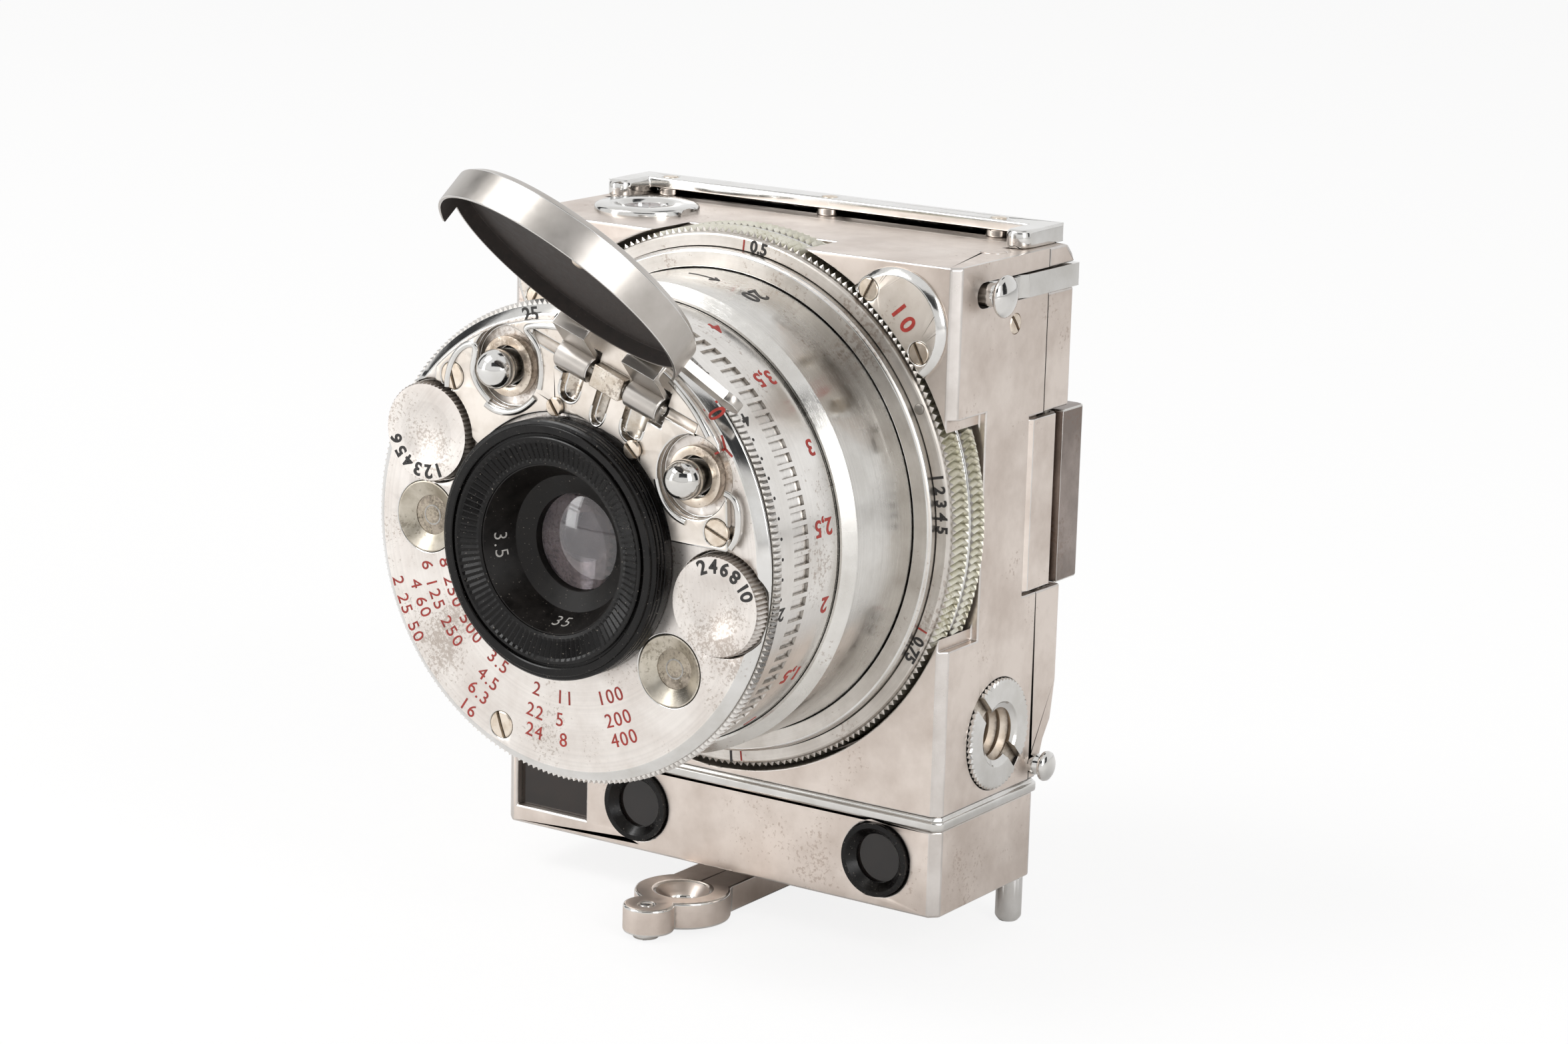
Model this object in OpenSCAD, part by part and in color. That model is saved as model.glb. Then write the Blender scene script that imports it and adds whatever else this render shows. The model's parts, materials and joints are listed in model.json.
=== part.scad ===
/* [Body] */
// Width of the body across its two sides
body_w = 53; // [52.5:0.1:56]
// Height of the top face above the underside of the finder block
body_h = 64.7; // [64.4:0.1:68]
// Depth of the body from its front face to the seam of the back
body_d = 17.3; // [17.2:0.1:19]
// Height of the lens axis above the underside of the finder block
axis_z = 38.5; // [38.2:0.1:38.8]
// Bevel along the front upright edges
edge_cut = 0.8; // [0.3:0.1:1.2]
// Depth of the seat that the two knurled rings turn in
ring_seat_d = 6.2; // [6.2:0.1:7]
// Height of the window in each side where a finger reaches the rings
window_h = 22.8; // [16:0.2:26]
// Distance from the front of the film frame to the seam of the back
gate_back = 2.3; // [1.7:0.1:2.3]
// Wall between the film chamber and each side
side_wall = 2.2; // [1.8:0.1:2.6]
// Width of the picture on the film
picture_w = 36; // [24:1:36]
// Height of the picture on the film
picture_h = 24; // [18:1:24]

/* [Finder block] */
// How far the finder block reaches behind the seam of the back
block_back = 1.5; // [1.1:0.1:3]
// Height of the finder block below the polished ledge
block_h = 8.9; // [8.6:0.1:9.1]
// Height of the polished ledge
ledge_h = 1.4; // [1.2:0.1:1.4]
// Distance by which the ledge stands proud of the faces
ledge_proud = 0.3; // [0.1:0.1:0.5]
// Width of the viewfinder window
view_w = 8.9; // [6:0.1:9.6]
// Height of the viewfinder window
view_h = 6; // [5:0.1:6.4]
// Distance of the viewfinder window's middle from the left side
view_side = 5.9; // [5.7:0.1:6.5]
// Outer radius of a rangefinder bezel
rf_bezel_r = 3.75; // [3.4:0.05:3.8]
// Radius of the rangefinder tunnels
rf_bore_r = 2.9; // [2.4:0.05:3]
// Distance of the main rangefinder window from the lens axis
rf_main_x = 9.6; // [9.2:0.1:10.2]
// Distance of the far rangefinder window from the right side
rf_far_side = 7; // [6:0.1:8.5]
// Height of the rangefinder windows above the underside
rf_z = 4.9; // [4.8:0.05:5]

/* [Back] */
// Depth of the back behind the seam
back_d = 4.8; // [4.6:0.1:5.6]
// Wall of the back's shell
back_wall = 1.6; // [1.2:0.1:1.8]
// Height of the bridge across the back
bridge_h = 17.7; // [14:0.1:20]
// Thickness of the bridge behind the back
bridge_t = 3.4; // [2.8:0.1:4]
// Radius of a side catch's hinge pin
catch_pin_r = 0.45; // [0.35:0.05:0.55]

/* [Rings] */
// Radius of the knurled rings
focus_r = 27.3; // [27:0.05:27.4]
// Width of the front knurled ring
focus_w = 3.2; // [2.6:0.1:3.3]
// Width of the rear knurled ring
rear_w = 2.3; // [1.8:0.1:2.4]
// Width of the polished strip between the knurled rings
strip_w = 0.6; // [0.4:0.1:0.7]
// Outer radius of the focusing sleeve
sleeve_r = 25.4; // [25.2:0.05:25.5]
// Reach of the focusing sleeve in front of the body
sleeve_reach = 1.65; // [1.2:0.05:1.9]

/* [Barrel] */
// Outer radius of the outer barrel
outer_r = 23.4; // [23.3:0.05:24]
// Reach of the outer barrel in front of the body
outer_reach = 12.45; // [12.2:0.05:13.5]
// Length of the outer barrel
outer_len = 15.4; // [15:0.1:16.4]
// Outer radius of the speed ring
speed_r = 22; // [21.7:0.05:22.1]
// Radius of the speed ring's toothed rim
rim_r = 23.3; // [23:0.05:23.6]
// Distance of the front disc's face in front of the body
face_reach = 26; // [25.8:0.1:27]
// Length of the inner barrel that stays in the outer barrel
inner_hold = 3.95; // [3.5:0.05:4.2]
// Thickness of the polished cover plate on the front disc
cover_t = 0.7; // [0.5:0.05:0.8]
// Radius of the front disc
disc_r = 22.9; // [22.8:0.05:23.1]

/* [Controls] */
// Radius of the aperture and filter knobs
knob_r = 4.85; // [4.4:0.05:5]
// Distance of each knob from the lens axis
knob_at = 18.2; // [18:0.05:18.3]
// Direction of the aperture knob from the lens axis
aperture_ang = 150.7; // [148:0.1:153]
// Direction of the filter knob from the lens axis
filter_ang = -8.8; // [-11:0.1:-7]
// Distance of each setting disc's centre from the lens axis
turret_at = 7.6; // [7.4:0.05:7.8]
// Gear module of the knobs' pinions and the setting discs
gear_m = 0.28; // [0.27:0.002:0.282]
// Radius of a release pin's stem
pin_r = 1.75; // [1.4:0.05:1.8]
// Radius of a release pin's dome
dome_r = 1.9; // [1.8:0.05:2.1]
// Travel of a release pin
pin_travel = 1.6; // [1:0.1:1.8]
// Widest radius of a setting window's cone
cone_r = 3.5; // [3:0.05:3.7]

/* [Lens] */
// Outer radius of the black lens ring
lens_ring_r = 12.45; // [12.2:0.05:12.5]
// Height of the black lens ring above the front disc's face
lens_ring_h = 3; // [2.6:0.1:3.1]
// Radius of the front glass
glass_r = 4.7; // [4.2:0.05:4.9]

/* [Lens cap] */
// Outer radius of the cap
cap_r = 13.05; // [13:0.05:13.2]
// Wall of the cap's rim
cap_wall = 0.3; // [0.25:0.01:0.35]
// Height of the cap
cap_h = 3.7; // [3.6:0.1:4.2]
// Distance of the cap's hinge from the lens axis
hinge_at = 17.65; // [17.4:0.05:18.2]
// Direction of the cap's hinge from the lens axis
hinge_ang = 71; // [69:0.5:74]
// Opening angle of the cap as it stands
cap_open = 129.5; // [60:0.5:130]
// Radius of the cap's hinge knuckles
knuckle_r = 1.25; // [1.1:0.05:1.3]
// Radius of the cap's hinge pin
hinge_pin_r = 0.5; // [0.4:0.05:0.6]

/* [Top and sides] */
// Radius of the spirit level's ring
level_r = 5.4; // [4.6:0.1:6]
// Height of the top rail above the top face
rail_h = 1.85; // [1.6:0.05:2.4]
// Thickness of the top rail's plate
rail_t = 1.05; // [0.7:0.05:1.1]
// Width of the slot for the sliding latch
slot_h = 2.5; // [2.2:0.1:2.8]
// Radius of the latch button's head
button_r = 2; // [1.7:0.1:2.4]
// Outer radius of the tripod bush
bush_r = 5.65; // [5:0.05:5.8]
// Radius at the crests of the tripod bush's thread
thread_r = 2.65; // [2.4:0.05:2.9]
// Depth of the tripod bush's threaded hole
thread_depth = 5.5; // [4.5:0.1:6]
// Radius of the round corner plates
corner_r = 5.8; // [5:0.1:6]
// Thickness of the round corner plates
corner_t = 0.9; // [0.6:0.1:1.1]

/* [Stand] */
// Length of each foot pin below the finder block
foot_len = 4.8; // [4.4:0.1:5.4]
// Radius of a foot pin
foot_r = 1.35; // [1.1:0.05:1.4]
// Thickness of the stand arm
arm_t = 2.9; // [2.6:0.1:3]
// Width of the stand arm
arm_w = 7.1; // [6:0.1:7.6]
// Distance from the stand arm's pivot to its countersunk hole
arm_hole_at = 16.2; // [15.5:0.1:17]
// Radius of the stand arm's countersunk hole
arm_hole_r = 1.5; // [1.2:0.1:1.8]

/* [Hidden] */
$fn = 72;

half_w = body_w / 2;
block_d = body_d + block_back;
front_y = -block_d / 2;
ledge_top = block_h + ledge_h;
run = 0.1;        // clearance of pieces that turn or slide in each other
seat = 0.03;      // clearance of pieces that are fixed in each other
air = 0.3;        // clearance of pieces that only pass each other
over = 1;         // how far a cut runs past the face that it opens

ring_seat_r = focus_r + 0.35;
sleeve_bore_r = sleeve_r + run;
gate_y = body_d - gate_back;
pocket_w = body_w - 2 * side_wall;
pocket_z = ledge_top + 3.9;
pocket_h = body_h - 1.9 - pocket_z;
gate_t = 1;
screen_t = 1.2;
back_y = body_d + back_d;
view_x = half_w - view_side;
rf_far_x = half_w - rf_far_side;
rf_y = 9.3;
eyepiece_r = 2.9;
eyepiece_t = 1;
glass_t = 0.55;
rf_tunnel = 5.6;
mirror_w = 5;
mirror_t = 0.6;
mirror_pin_r = 0.5;

sleeve_in_r = outer_r + run;
sleeve_back = gate_y - 0.4;
outer_in_r = speed_r + 0.12;
inner_r = speed_r - 1;
inner_in_r = inner_r - 0.8;
rim_t = 0.8;
disc_back = face_reach - 1.05;
rim_z = disc_back - run - rim_t;
boss_t = 1.05;
cover_z = face_reach + cover_t;

turret_t = 0.5;
turret_z = disc_back - 3.05;
filter_layer = turret_z - 0.9;
shutter_z = filter_layer - 0.7;
plate_z = shutter_z - 1.3;
plate_t = 1;
pinion_n = 10;
turret_n = 76;
gear_reach = gear_m * (pinion_n + turret_n) / 2;
turret_swing = acos((turret_at * turret_at + knob_at * knob_at - gear_reach * gear_reach)
    / (2 * turret_at * knob_at));
aperture_pin = polar(turret_at, aperture_ang + turret_swing);
filter_pin = polar(turret_at, filter_ang - turret_swing);
turret_pin_r = 0.8;
shutter_at = [0, 6.2];
shutter_r = 8.2;
knob_floor = disc_back + 0.25;
knob_face = face_reach + 1.1;
knob_stem_r = 0.9;
left_pin_at = [-6.8, 16.4];
right_pin_at = [14.9, 8.9];
release_at = [left_pin_at, right_pin_at];
release_well = 3.95;
well_floor = face_reach - 0.55;
collar_r = 2.9;
collar_h = 0.95;
dome_z = well_floor + collar_h + pin_travel;
left_cone_at = [-16.6, 0.35];
right_cone_at = [12.3, -10.1];
cone_at = [left_cone_at, right_cone_at];
cone_hole_r = 1.9;
cone_d = 1;
disc_screw_at = [[-13.1, 14.75], [17.7, 4.1], [-7.3, -18.85]];
disc_screw_r = 1.3;
screw_stem_r = 0.7;
screw_sink = 0.4;
plate_screw_at = [polar(lens_ring_r + 1, 93), polar(lens_ring_r + 1, 52)];
plate_screw_r = 0.9;
plate_stem_r = 0.5;

lens_top = face_reach + lens_ring_h;
cell_r = 8.2;
cell_back = turret_z + turret_t + 0.3;
glass_top = lens_top - 4.7;
glass_dome_r = 12;
hood_step_r = cell_r - 1.6;
hood_step_z = lens_top - 4;
ring_cone_r = lens_ring_r - 1.85;
groove_r = lens_ring_r - 1.55;
rear_cell_r = 6.5;
rear_cell_len = 6;
rear_flange_r = 8.5;
rear_bore_r = 3.4;
hinge_z = face_reach + cover_t + 0.1;
cap_floor = cover_z + 0.06;
knuckle_w = 3.9;
knuckle_at = 4.2;
hinge_pin_len = 12.6;
pocket_at = 3.3;
finger_r = 0.95;
lug_w = 3.6;
cap_cut = 1.8;
leaf_t = 0.5;
lug_turn = 39;
lug_tab_w = 2;
lug_reach = 19;

level_at = [9.7 - half_w, 9.8];
level_stem_r = 4.4;
level_stem = 2.1;
level_z = 0.75;
level_hole = 2.5;
plug_at = [half_w - 2.9, back_y - 10.8];
plug_depth = 1.5;
plug_r = 1.25;
bush_at = [gate_y - 4.4, ledge_top + 6.4];
bush_stem_r = bush_r - 1.4;
bush_rim = 0.45;
bush_slot = 1.5;
side_screw_at = [11.1, body_h - 6.7];
side_screw_r = 1.03;
side_screw_len = 1.9;
slot_z = body_h - 3.15;
slot_front = 3.7;
slot_depth = 2.3;
latch_at = slot_front + 2.2;
strap_front = back_y - 9.4;
strap_t = 0.6;
corner_at = [half_w - 6.8, body_h - 6.3];
corner_screw_off = [[-2.7, 3.4], [3.2, -2.1]];
corner_screw_r = 1.1;
corner_stem_r = 0.6;
corner_stem = 1.8;
bridge_z = axis_z + 0.6;
catch_y = body_d + 2.1;
catch_x = half_w - 1.1;
catch_t = 0.6;
catch_gap = 0.2;
catch_front = body_d - 2.4;
stud_at = [body_d + 0.9, ledge_top + 1.55];
stud_stem_r = 0.55;
stud_neck_r = 1.1;
stud_head_r = 1.55;
stud_depth = 3;
rail_front = back_y - 7.9;
rail_bar = 3.4;
rail_arm = 2.6;
rail_half = half_w - 1.1;
rivet_r = 0.8;
rivet_x = [4.2 - rail_half, -1.3, rail_half - 6.6];
rivet_y = back_y - 1.9;
rivet_stem_r = 0.5;
rivet_sink = 0.3;
rivet_depth = 1.3;
foot_at = [half_w - 1.6, block_d - 1.6];
foot_stem_r = foot_r - 0.4;
foot_stem = 2.9;
pivot_at = [-1, block_d / 2 + 3];
pivot_r = 2;
pivot_rim = 0.6;
arm_gap = 1.3;
arm_tip_at = arm_hole_at + 5.9;
arm_lobe_r = 4.9;
arm_tip_r = 2.6;
arm_foot_r = 1.3;
arm_foot_stem_r = 0.7;

function polar(r, a) = [r * cos(a), r * sin(a)];

// Frames: x to the right, y to the back from the front face, z up
module at_front() { translate([0, front_y, 0]) children(); }

// Lens axis: x to the right, y up, z forward from the front face
module on_axis() { translate([0, front_y, axis_z]) rotate([90, 0, 0]) children(); }

// Right side face: x to the back, y up, z outward
module on_right() {
    translate([half_w, front_y, 0]) rotate([90, 0, 90]) children();
}

module spot(at, z = 0) { translate([at[0], at[1], z]) children(); }

module tube(r_out, r_in, h) {
    difference() {
        cylinder(h = h, r = r_out);
        translate([0, 0, -over]) cylinder(h = h + 2 * over, r = r_in);
    }
}

module slotted_head(r, h, turn, slot = 0.32, deep = 0.35) {
    difference() {
        cylinder(h = h, r = r);
        rotate([0, 0, turn]) translate([-r - over, -slot / 2, h - deep])
            cube([2 * (r + over), slot, deep + over]);
    }
}

// Box with its front upright edges cut at an angle
module cased_box(w, y0, y1, z0, z1, cut_f, cut_b) {
    translate([0, 0, z0]) linear_extrude(z1 - z0) polygon([
        [-w / 2 + cut_f, y0], [w / 2 - cut_f, y0], [w / 2, y0 + cut_f], [w / 2, y1 - cut_b],
        [w / 2 - cut_b, y1], [-w / 2 + cut_b, y1], [-w / 2, y1 - cut_b], [-w / 2, y0 + cut_f]]);
}

module round_bar(x0, x1, r) {
    translate([x0, -r]) square([x1 - x0, 2 * r]);
    translate([x0, 0]) circle(r);
    translate([x1, 0]) circle(r);
}

module gear_outline(teeth, m) {
    pitch = m * teeth / 2;
    tip = pitch + 0.8 * m;
    root = pitch - 1.15 * m;
    step = 360 / teeth;
    polygon([for (i = [0 : teeth - 1]) for (p = [[root, -0.3], [tip, -0.12], [tip, 0.12], [root, 0.3]])
        polar(p[0], (i + p[1]) * step)]);
}

module main_body() color("#cdc8c0") difference() {
    at_front() cased_box(body_w, 0, body_d, ledge_top, body_h, edge_cut, 0);
    on_axis() {
        translate([0, 0, -ring_seat_d]) cylinder(h = ring_seat_d + over, r = ring_seat_r);
        translate([0, 0, -gate_y - over]) cylinder(h = gate_y + over, r = sleeve_bore_r);
    }
    at_front() {
        for (s = [-1, 1]) translate([s * (half_w + over) - 1.3 - over / 2, -over, axis_z - window_h / 2])
            cube([2.6 + over, ring_seat_d + over, window_h]);
        translate([-pocket_w / 2, gate_y, pocket_z]) cube([pocket_w, body_d, pocket_h]);
        for (s = [-1, 1]) translate([s > 0 ? half_w - catch_t - catch_gap : -half_w - over,
            catch_front - air, bridge_z - bridge_h / 2 - air])
            cube([catch_t + catch_gap + over, body_d, bridge_h + 2 * air]);
        spot(level_at, body_h - level_stem - run) cylinder(h = 3, r = level_stem_r + seat);
        spot(plug_at, body_h - plug_depth) cylinder(h = 3, r = plug_r + seat);
        corner_holes();
    }
    on_right() {
        spot([slot_front, slot_z], -slot_depth) translate([0, -slot_h / 2, 0]) latch_slot(body_d);
        spot(bush_at, -thread_depth - 1.2) cylinder(h = thread_depth + 3, r = bush_stem_r + seat);
        spot(side_screw_at, -side_screw_len - run) cylinder(h = 4, r = side_screw_r + seat);
    }
}

// Slot with a rounded front end, open to the back
module latch_slot(len) {
    linear_extrude(slot_depth + over) {
        translate([slot_h / 2, slot_h / 2]) circle(slot_h / 2);
        translate([slot_h / 2, 0]) square([len, slot_h]);
    }
}

module corner_holes() {
    for (s = [-1, 1]) for (p = corner_screw_off)
        translate([s * (corner_at[0] + p[0]), -over, corner_at[1] + p[1]]) rotate([-90, 0, 0])
            cylinder(h = corner_stem + 0.2 + over, r = corner_stem_r + seat);
}

module back_outline() {
    top_cut = 1;
    polygon([[body_d, ledge_top], [block_d, ledge_top], [back_y - 2, ledge_top + 3.7],
        [back_y - 0.7, ledge_top + 5.6], [back_y, ledge_top + 9.7], [back_y, body_h - top_cut],
        [back_y - top_cut, body_h], [body_d, body_h]]);
}

module back_cover() color("#c9c4bb") difference() {
    at_front() translate([-half_w, 0, 0]) rotate([90, 0, 90]) linear_extrude(body_w) back_outline();
    at_front() {
        translate([-pocket_w / 2, body_d - over, pocket_z + 2])
            cube([pocket_w, back_d - back_wall + over, pocket_h - 4]);
        for (s = [-1, 1]) {
            translate([s > 0 ? half_w - 2.4 : -half_w - over, body_d - over, bridge_z - bridge_h / 2 - air])
                cube([2.4 + over, back_d + 2 * over, bridge_h + 2 * air]);
            translate([s * catch_x, catch_y, bridge_z - bridge_h / 2 - 1.5])
                cylinder(h = bridge_h + 3, r = catch_pin_r + seat);
        }
        for (x = rivet_x) translate([x, rivet_y, body_h - rivet_depth - run])
            cylinder(h = 3, r = rivet_stem_r + seat);
    }
    on_right() {
        spot([body_d - over, slot_z], -slot_depth) translate([0, -slot_h / 2, 0])
            cube([back_d + 2 * over, slot_h, slot_depth + over]);
        spot(stud_at, -stud_depth) cylinder(h = stud_depth + over, r = stud_stem_r + seat);
    }
}

module finder_block() color("#cbc5bc") difference() {
    at_front() cased_box(body_w, 0, block_d, 0, block_h, edge_cut, 0.6);
    at_front() {
        translate([-view_x - view_w / 2, -over, rf_z - view_h / 2]) cube([view_w, 12 + over, view_h]);
        eyepiece_holes();
        for (x = [-rf_main_x, rf_far_x]) translate([x, -over, rf_z]) rotate([-90, 0, 0]) {
            cylinder(h = rf_y + over, r = rf_bore_r);
            cylinder(h = 1.2 + over, r = rf_bezel_r + seat);
        }
        translate([-rf_main_x - rf_tunnel / 2, rf_y - rf_tunnel / 2, rf_z - rf_tunnel / 2])
            cube([rf_main_x + rf_far_x + rf_tunnel, rf_tunnel, rf_tunnel]);
        translate([rf_far_x, rf_y, 1.2]) cylinder(h = 2, r = mirror_pin_r + 0.05);
        for (s = [-1, 1]) translate([s * foot_at[0], foot_at[1], -over])
            cylinder(h = foot_stem + run + over, r = foot_stem_r + seat);
        translate([pivot_at[0], pivot_at[1], -over]) cylinder(h = 1.5 + over, r = 1 + seat);
    }
}

module eyepiece_holes() {
    for (x = [-view_x, -rf_main_x]) translate([x, rf_y, rf_z]) rotate([-90, 0, 0]) {
        cylinder(h = block_d, r = 2.2);
        translate([0, 0, block_d - rf_y - eyepiece_t - 0.2]) cylinder(h = 3, r = eyepiece_r + seat);
    }
}

module ledge_band() color("#e4e4e4") difference() {
    at_front() cased_box(body_w + 2 * ledge_proud, -ledge_proud, block_d + ledge_proud, block_h, ledge_top,
        edge_cut, 0.6);
    at_front() translate([0, 0, ledge_top - 0.4]) difference() {
        cased_box(body_w + 4, -2, block_d + 2, 0, 1, edge_cut, 0.6);
        cased_box(body_w, 0, block_d, -1, 2, edge_cut, 0.6);
    }
}

module viewfinder_window() color("#3a2f2a") at_front()
    translate([-view_x - view_w / 2 + seat, 0.8, rf_z - view_h / 2 + seat])
        cube([view_w - 2 * seat, 1, view_h - 2 * seat]);

module eyepieces() color("#41464c") at_front()
    for (x = [-view_x, -rf_main_x]) translate([x, block_d - eyepiece_t - 0.2, rf_z]) rotate([-90, 0, 0])
        cylinder(h = eyepiece_t, r = eyepiece_r);

module rangefinder_bezels() color("#1d1b1a") at_front()
    for (x = [-rf_main_x, rf_far_x]) translate([x, 1.2, rf_z]) rotate([90, 0, 0]) difference() {
        tube(rf_bezel_r, rf_bore_r - 0.4, 1.75);
        translate([0, 0, 0.9]) cylinder(h = 2, r1 = rf_bore_r - 0.4, r2 = rf_bezel_r + 0.5);
        translate([0, 0, -over]) cylinder(h = 0.6 + over, r = rf_bore_r);
    }

module rangefinder_glasses() color("#4a4f55") at_front()
    for (x = [-rf_main_x, rf_far_x]) translate([x, 1.2, rf_z]) rotate([90, 0, 0])
        cylinder(h = glass_t, r = rf_bore_r - seat);

module beam_splitter() color("#8d9499") at_front() translate([-rf_main_x, rf_y, rf_z - rf_tunnel / 2])
    rotate([0, 0, 45]) translate([-mirror_w / 2, -mirror_t / 2, 0])
        cube([mirror_w, mirror_t, rf_tunnel - run]);

module turning_mirror() color("#a9afb3") at_front() translate([rf_far_x, rf_y, 0]) union() {
    rotate([0, 0, 45]) translate([-mirror_w / 2, -mirror_t / 2, rf_z - rf_tunnel / 2 + run])
        cube([mirror_w, mirror_t, rf_tunnel - 2 * run]);
    translate([0, 0, 1.3]) cylinder(h = 2, r = mirror_pin_r);
}

module corner_plates() color("#d6d1c9") at_front() for (s = [-1, 1]) difference() {
    translate([s * corner_at[0], 0, corner_at[1]]) rotate([90, 0, 0]) cylinder(h = corner_t, r = corner_r);
    translate([0, over, axis_z]) rotate([90, 0, 0]) cylinder(h = corner_t + 2 * over, r = ring_seat_r + 0.15);
    for (p = corner_screw_off) translate([s * (corner_at[0] + p[0]), over, corner_at[1] + p[1]])
        rotate([90, 0, 0]) {
        cylinder(h = corner_t + 2 * over, r = corner_stem_r + seat);
        translate([0, 0, over + corner_t - 0.5]) cylinder(h = over, r = corner_screw_r + seat);
    }
}

module corner_screws() color("#c8b9a0") at_front() for (s = [-1, 1]) for (p = corner_screw_off)
    translate([s * (corner_at[0] + p[0]), 0, corner_at[1] + p[1]]) rotate([90, 0, 0]) {
        translate([0, 0, -corner_stem]) cylinder(h = corner_stem + corner_t - 0.5, r = corner_stem_r);
        translate([0, 0, corner_t - 0.5]) slotted_head(corner_screw_r, 0.5, s * 55);
    }

module level_ring() color("#e2e2e2") at_front() spot(level_at, body_h) difference() {
    union() {
        cylinder(h = level_z - 0.25, r = level_r);
        translate([0, 0, level_z - 0.25]) cylinder(h = 0.25, r1 = level_r, r2 = level_r - 0.3);
        translate([0, 0, -level_stem]) cylinder(h = level_stem + 0.1, r = level_stem_r);
    }
    translate([0, 0, -1.6]) cylinder(h = 4, r = level_hole);
}

module level_disc() color("#b3332c") at_front() spot(level_at, body_h - 1.55)
    cylinder(h = 0.5, r = level_hole - seat);

module level_glass() color("#dfe8ea") at_front() spot(level_at, body_h - 1)
    cylinder(h = 1.35, r = level_hole - seat);

module top_rail() color("#dedede") at_front() difference() {
    translate([0, 0, body_h]) union() {
        translate([-rail_half, back_y - rail_bar, rail_h - rail_t]) cube([2 * rail_half, rail_bar, rail_t]);
        translate([-rail_half, back_y - 1, 0]) cube([2 * rail_half, 1, rail_h]);
        for (s = [-1, 1]) translate([s > 0 ? rail_half - rail_arm : -rail_half, rail_front + 1.2, 0]) {
            cube([rail_arm, back_y - rail_front - 1.2, rail_h]);
            translate([rail_arm / 2, 0, 0]) cylinder(h = rail_h, r = rail_arm / 2);
        }
        for (x = rivet_x) translate([x, rivet_y, 0]) cylinder(h = rail_h - rail_t, r = 1.3);
    }
    for (x = rivet_x) translate([x, rivet_y, body_h - over]) {
        cylinder(h = rail_h + 2 * over, r = rivet_stem_r + seat);
        translate([0, 0, over + rail_h - rivet_sink]) cylinder(h = over, r = rivet_r + seat);
    }
}

module rail_rivets() color("#bdb7ae") at_front() for (x = rivet_x) translate([x, rivet_y, body_h]) {
    translate([0, 0, -rivet_depth]) cylinder(h = rivet_depth + rail_h - rivet_sink, r = rivet_stem_r);
    translate([0, 0, rail_h - rivet_sink]) cylinder(h = rivet_sink + 0.05, r = rivet_r);
}

module top_plug() color("#d2cdc5") at_front() spot(plug_at, body_h - plug_depth)
    cylinder(h = plug_depth + 0.05, r = plug_r);

module side_screw() color("#c8b9a0") on_right() spot(side_screw_at, -side_screw_len)
    slotted_head(side_screw_r, side_screw_len + 0.05, -50);

module tripod_bush() color("#d9d6d0") on_right() spot(bush_at) difference() {
    union() {
        cylinder(h = bush_rim, r = bush_r);
        translate([0, 0, -thread_depth - 1]) cylinder(h = thread_depth + 1.1, r = bush_stem_r);
    }
    translate([0, 0, -thread_depth]) cylinder(h = thread_depth + over, r = thread_r);
    translate([0, 0, bush_rim - 0.5]) cylinder(h = 0.6, r1 = thread_r, r2 = thread_r + 0.6);
    rotate([0, 0, -45]) translate([-bush_r - over, -bush_slot / 2, bush_rim - 0.8])
        cube([2 * (bush_r + over), bush_slot, 2]);
}

module film_gate() color("#2a2a2b") at_front() difference() {
    translate([-pocket_w / 2 + seat, gate_y, pocket_z + seat])
        cube([pocket_w - 2 * seat, gate_t, pocket_h - 2 * seat]);
    translate([-picture_w / 2, gate_y - over, axis_z - picture_h / 2])
        cube([picture_w, gate_t + 2 * over, picture_h]);
}

module focusing_screen() color("#cfd8d6") at_front()
    translate([-picture_w / 2 - 3, gate_y + gate_t, axis_z - picture_h / 2 - 3])
        cube([picture_w + 6, screen_t, picture_h + 6]);

module pressure_plate() color("#3a3a3b") at_front()
    translate([-picture_w / 2 - 3.5, gate_y + gate_t + screen_t, axis_z - picture_h / 2 - 6])
        cube([picture_w + 7, back_y - back_wall - gate_y - gate_t - screen_t, picture_h + 12]);

module foot_pins() color("#d5d2cd") at_front() for (s = [-1, 1])
    translate([s * foot_at[0], foot_at[1], 0]) union() {
    translate([0, 0, -foot_len + 0.5]) cylinder(h = foot_len - 0.5, r = foot_r);
    translate([0, 0, -foot_len]) cylinder(h = 0.5, r1 = foot_stem_r, r2 = foot_r);
    cylinder(h = foot_stem, r = foot_stem_r);
}

module arm_pivot() color("#cfcac2") at_front() translate([pivot_at[0], pivot_at[1], 0]) union() {
    translate([0, 0, -arm_gap]) cylinder(h = arm_gap, r = pivot_r + pivot_rim);
    translate([0, 0, -arm_gap - arm_t]) cylinder(h = arm_t, r = pivot_r);
    translate([0, 0, -arm_gap - arm_t]) cylinder(h = 0.5, r = pivot_r + pivot_rim);
    cylinder(h = 1.4, r = 1);
}

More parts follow.
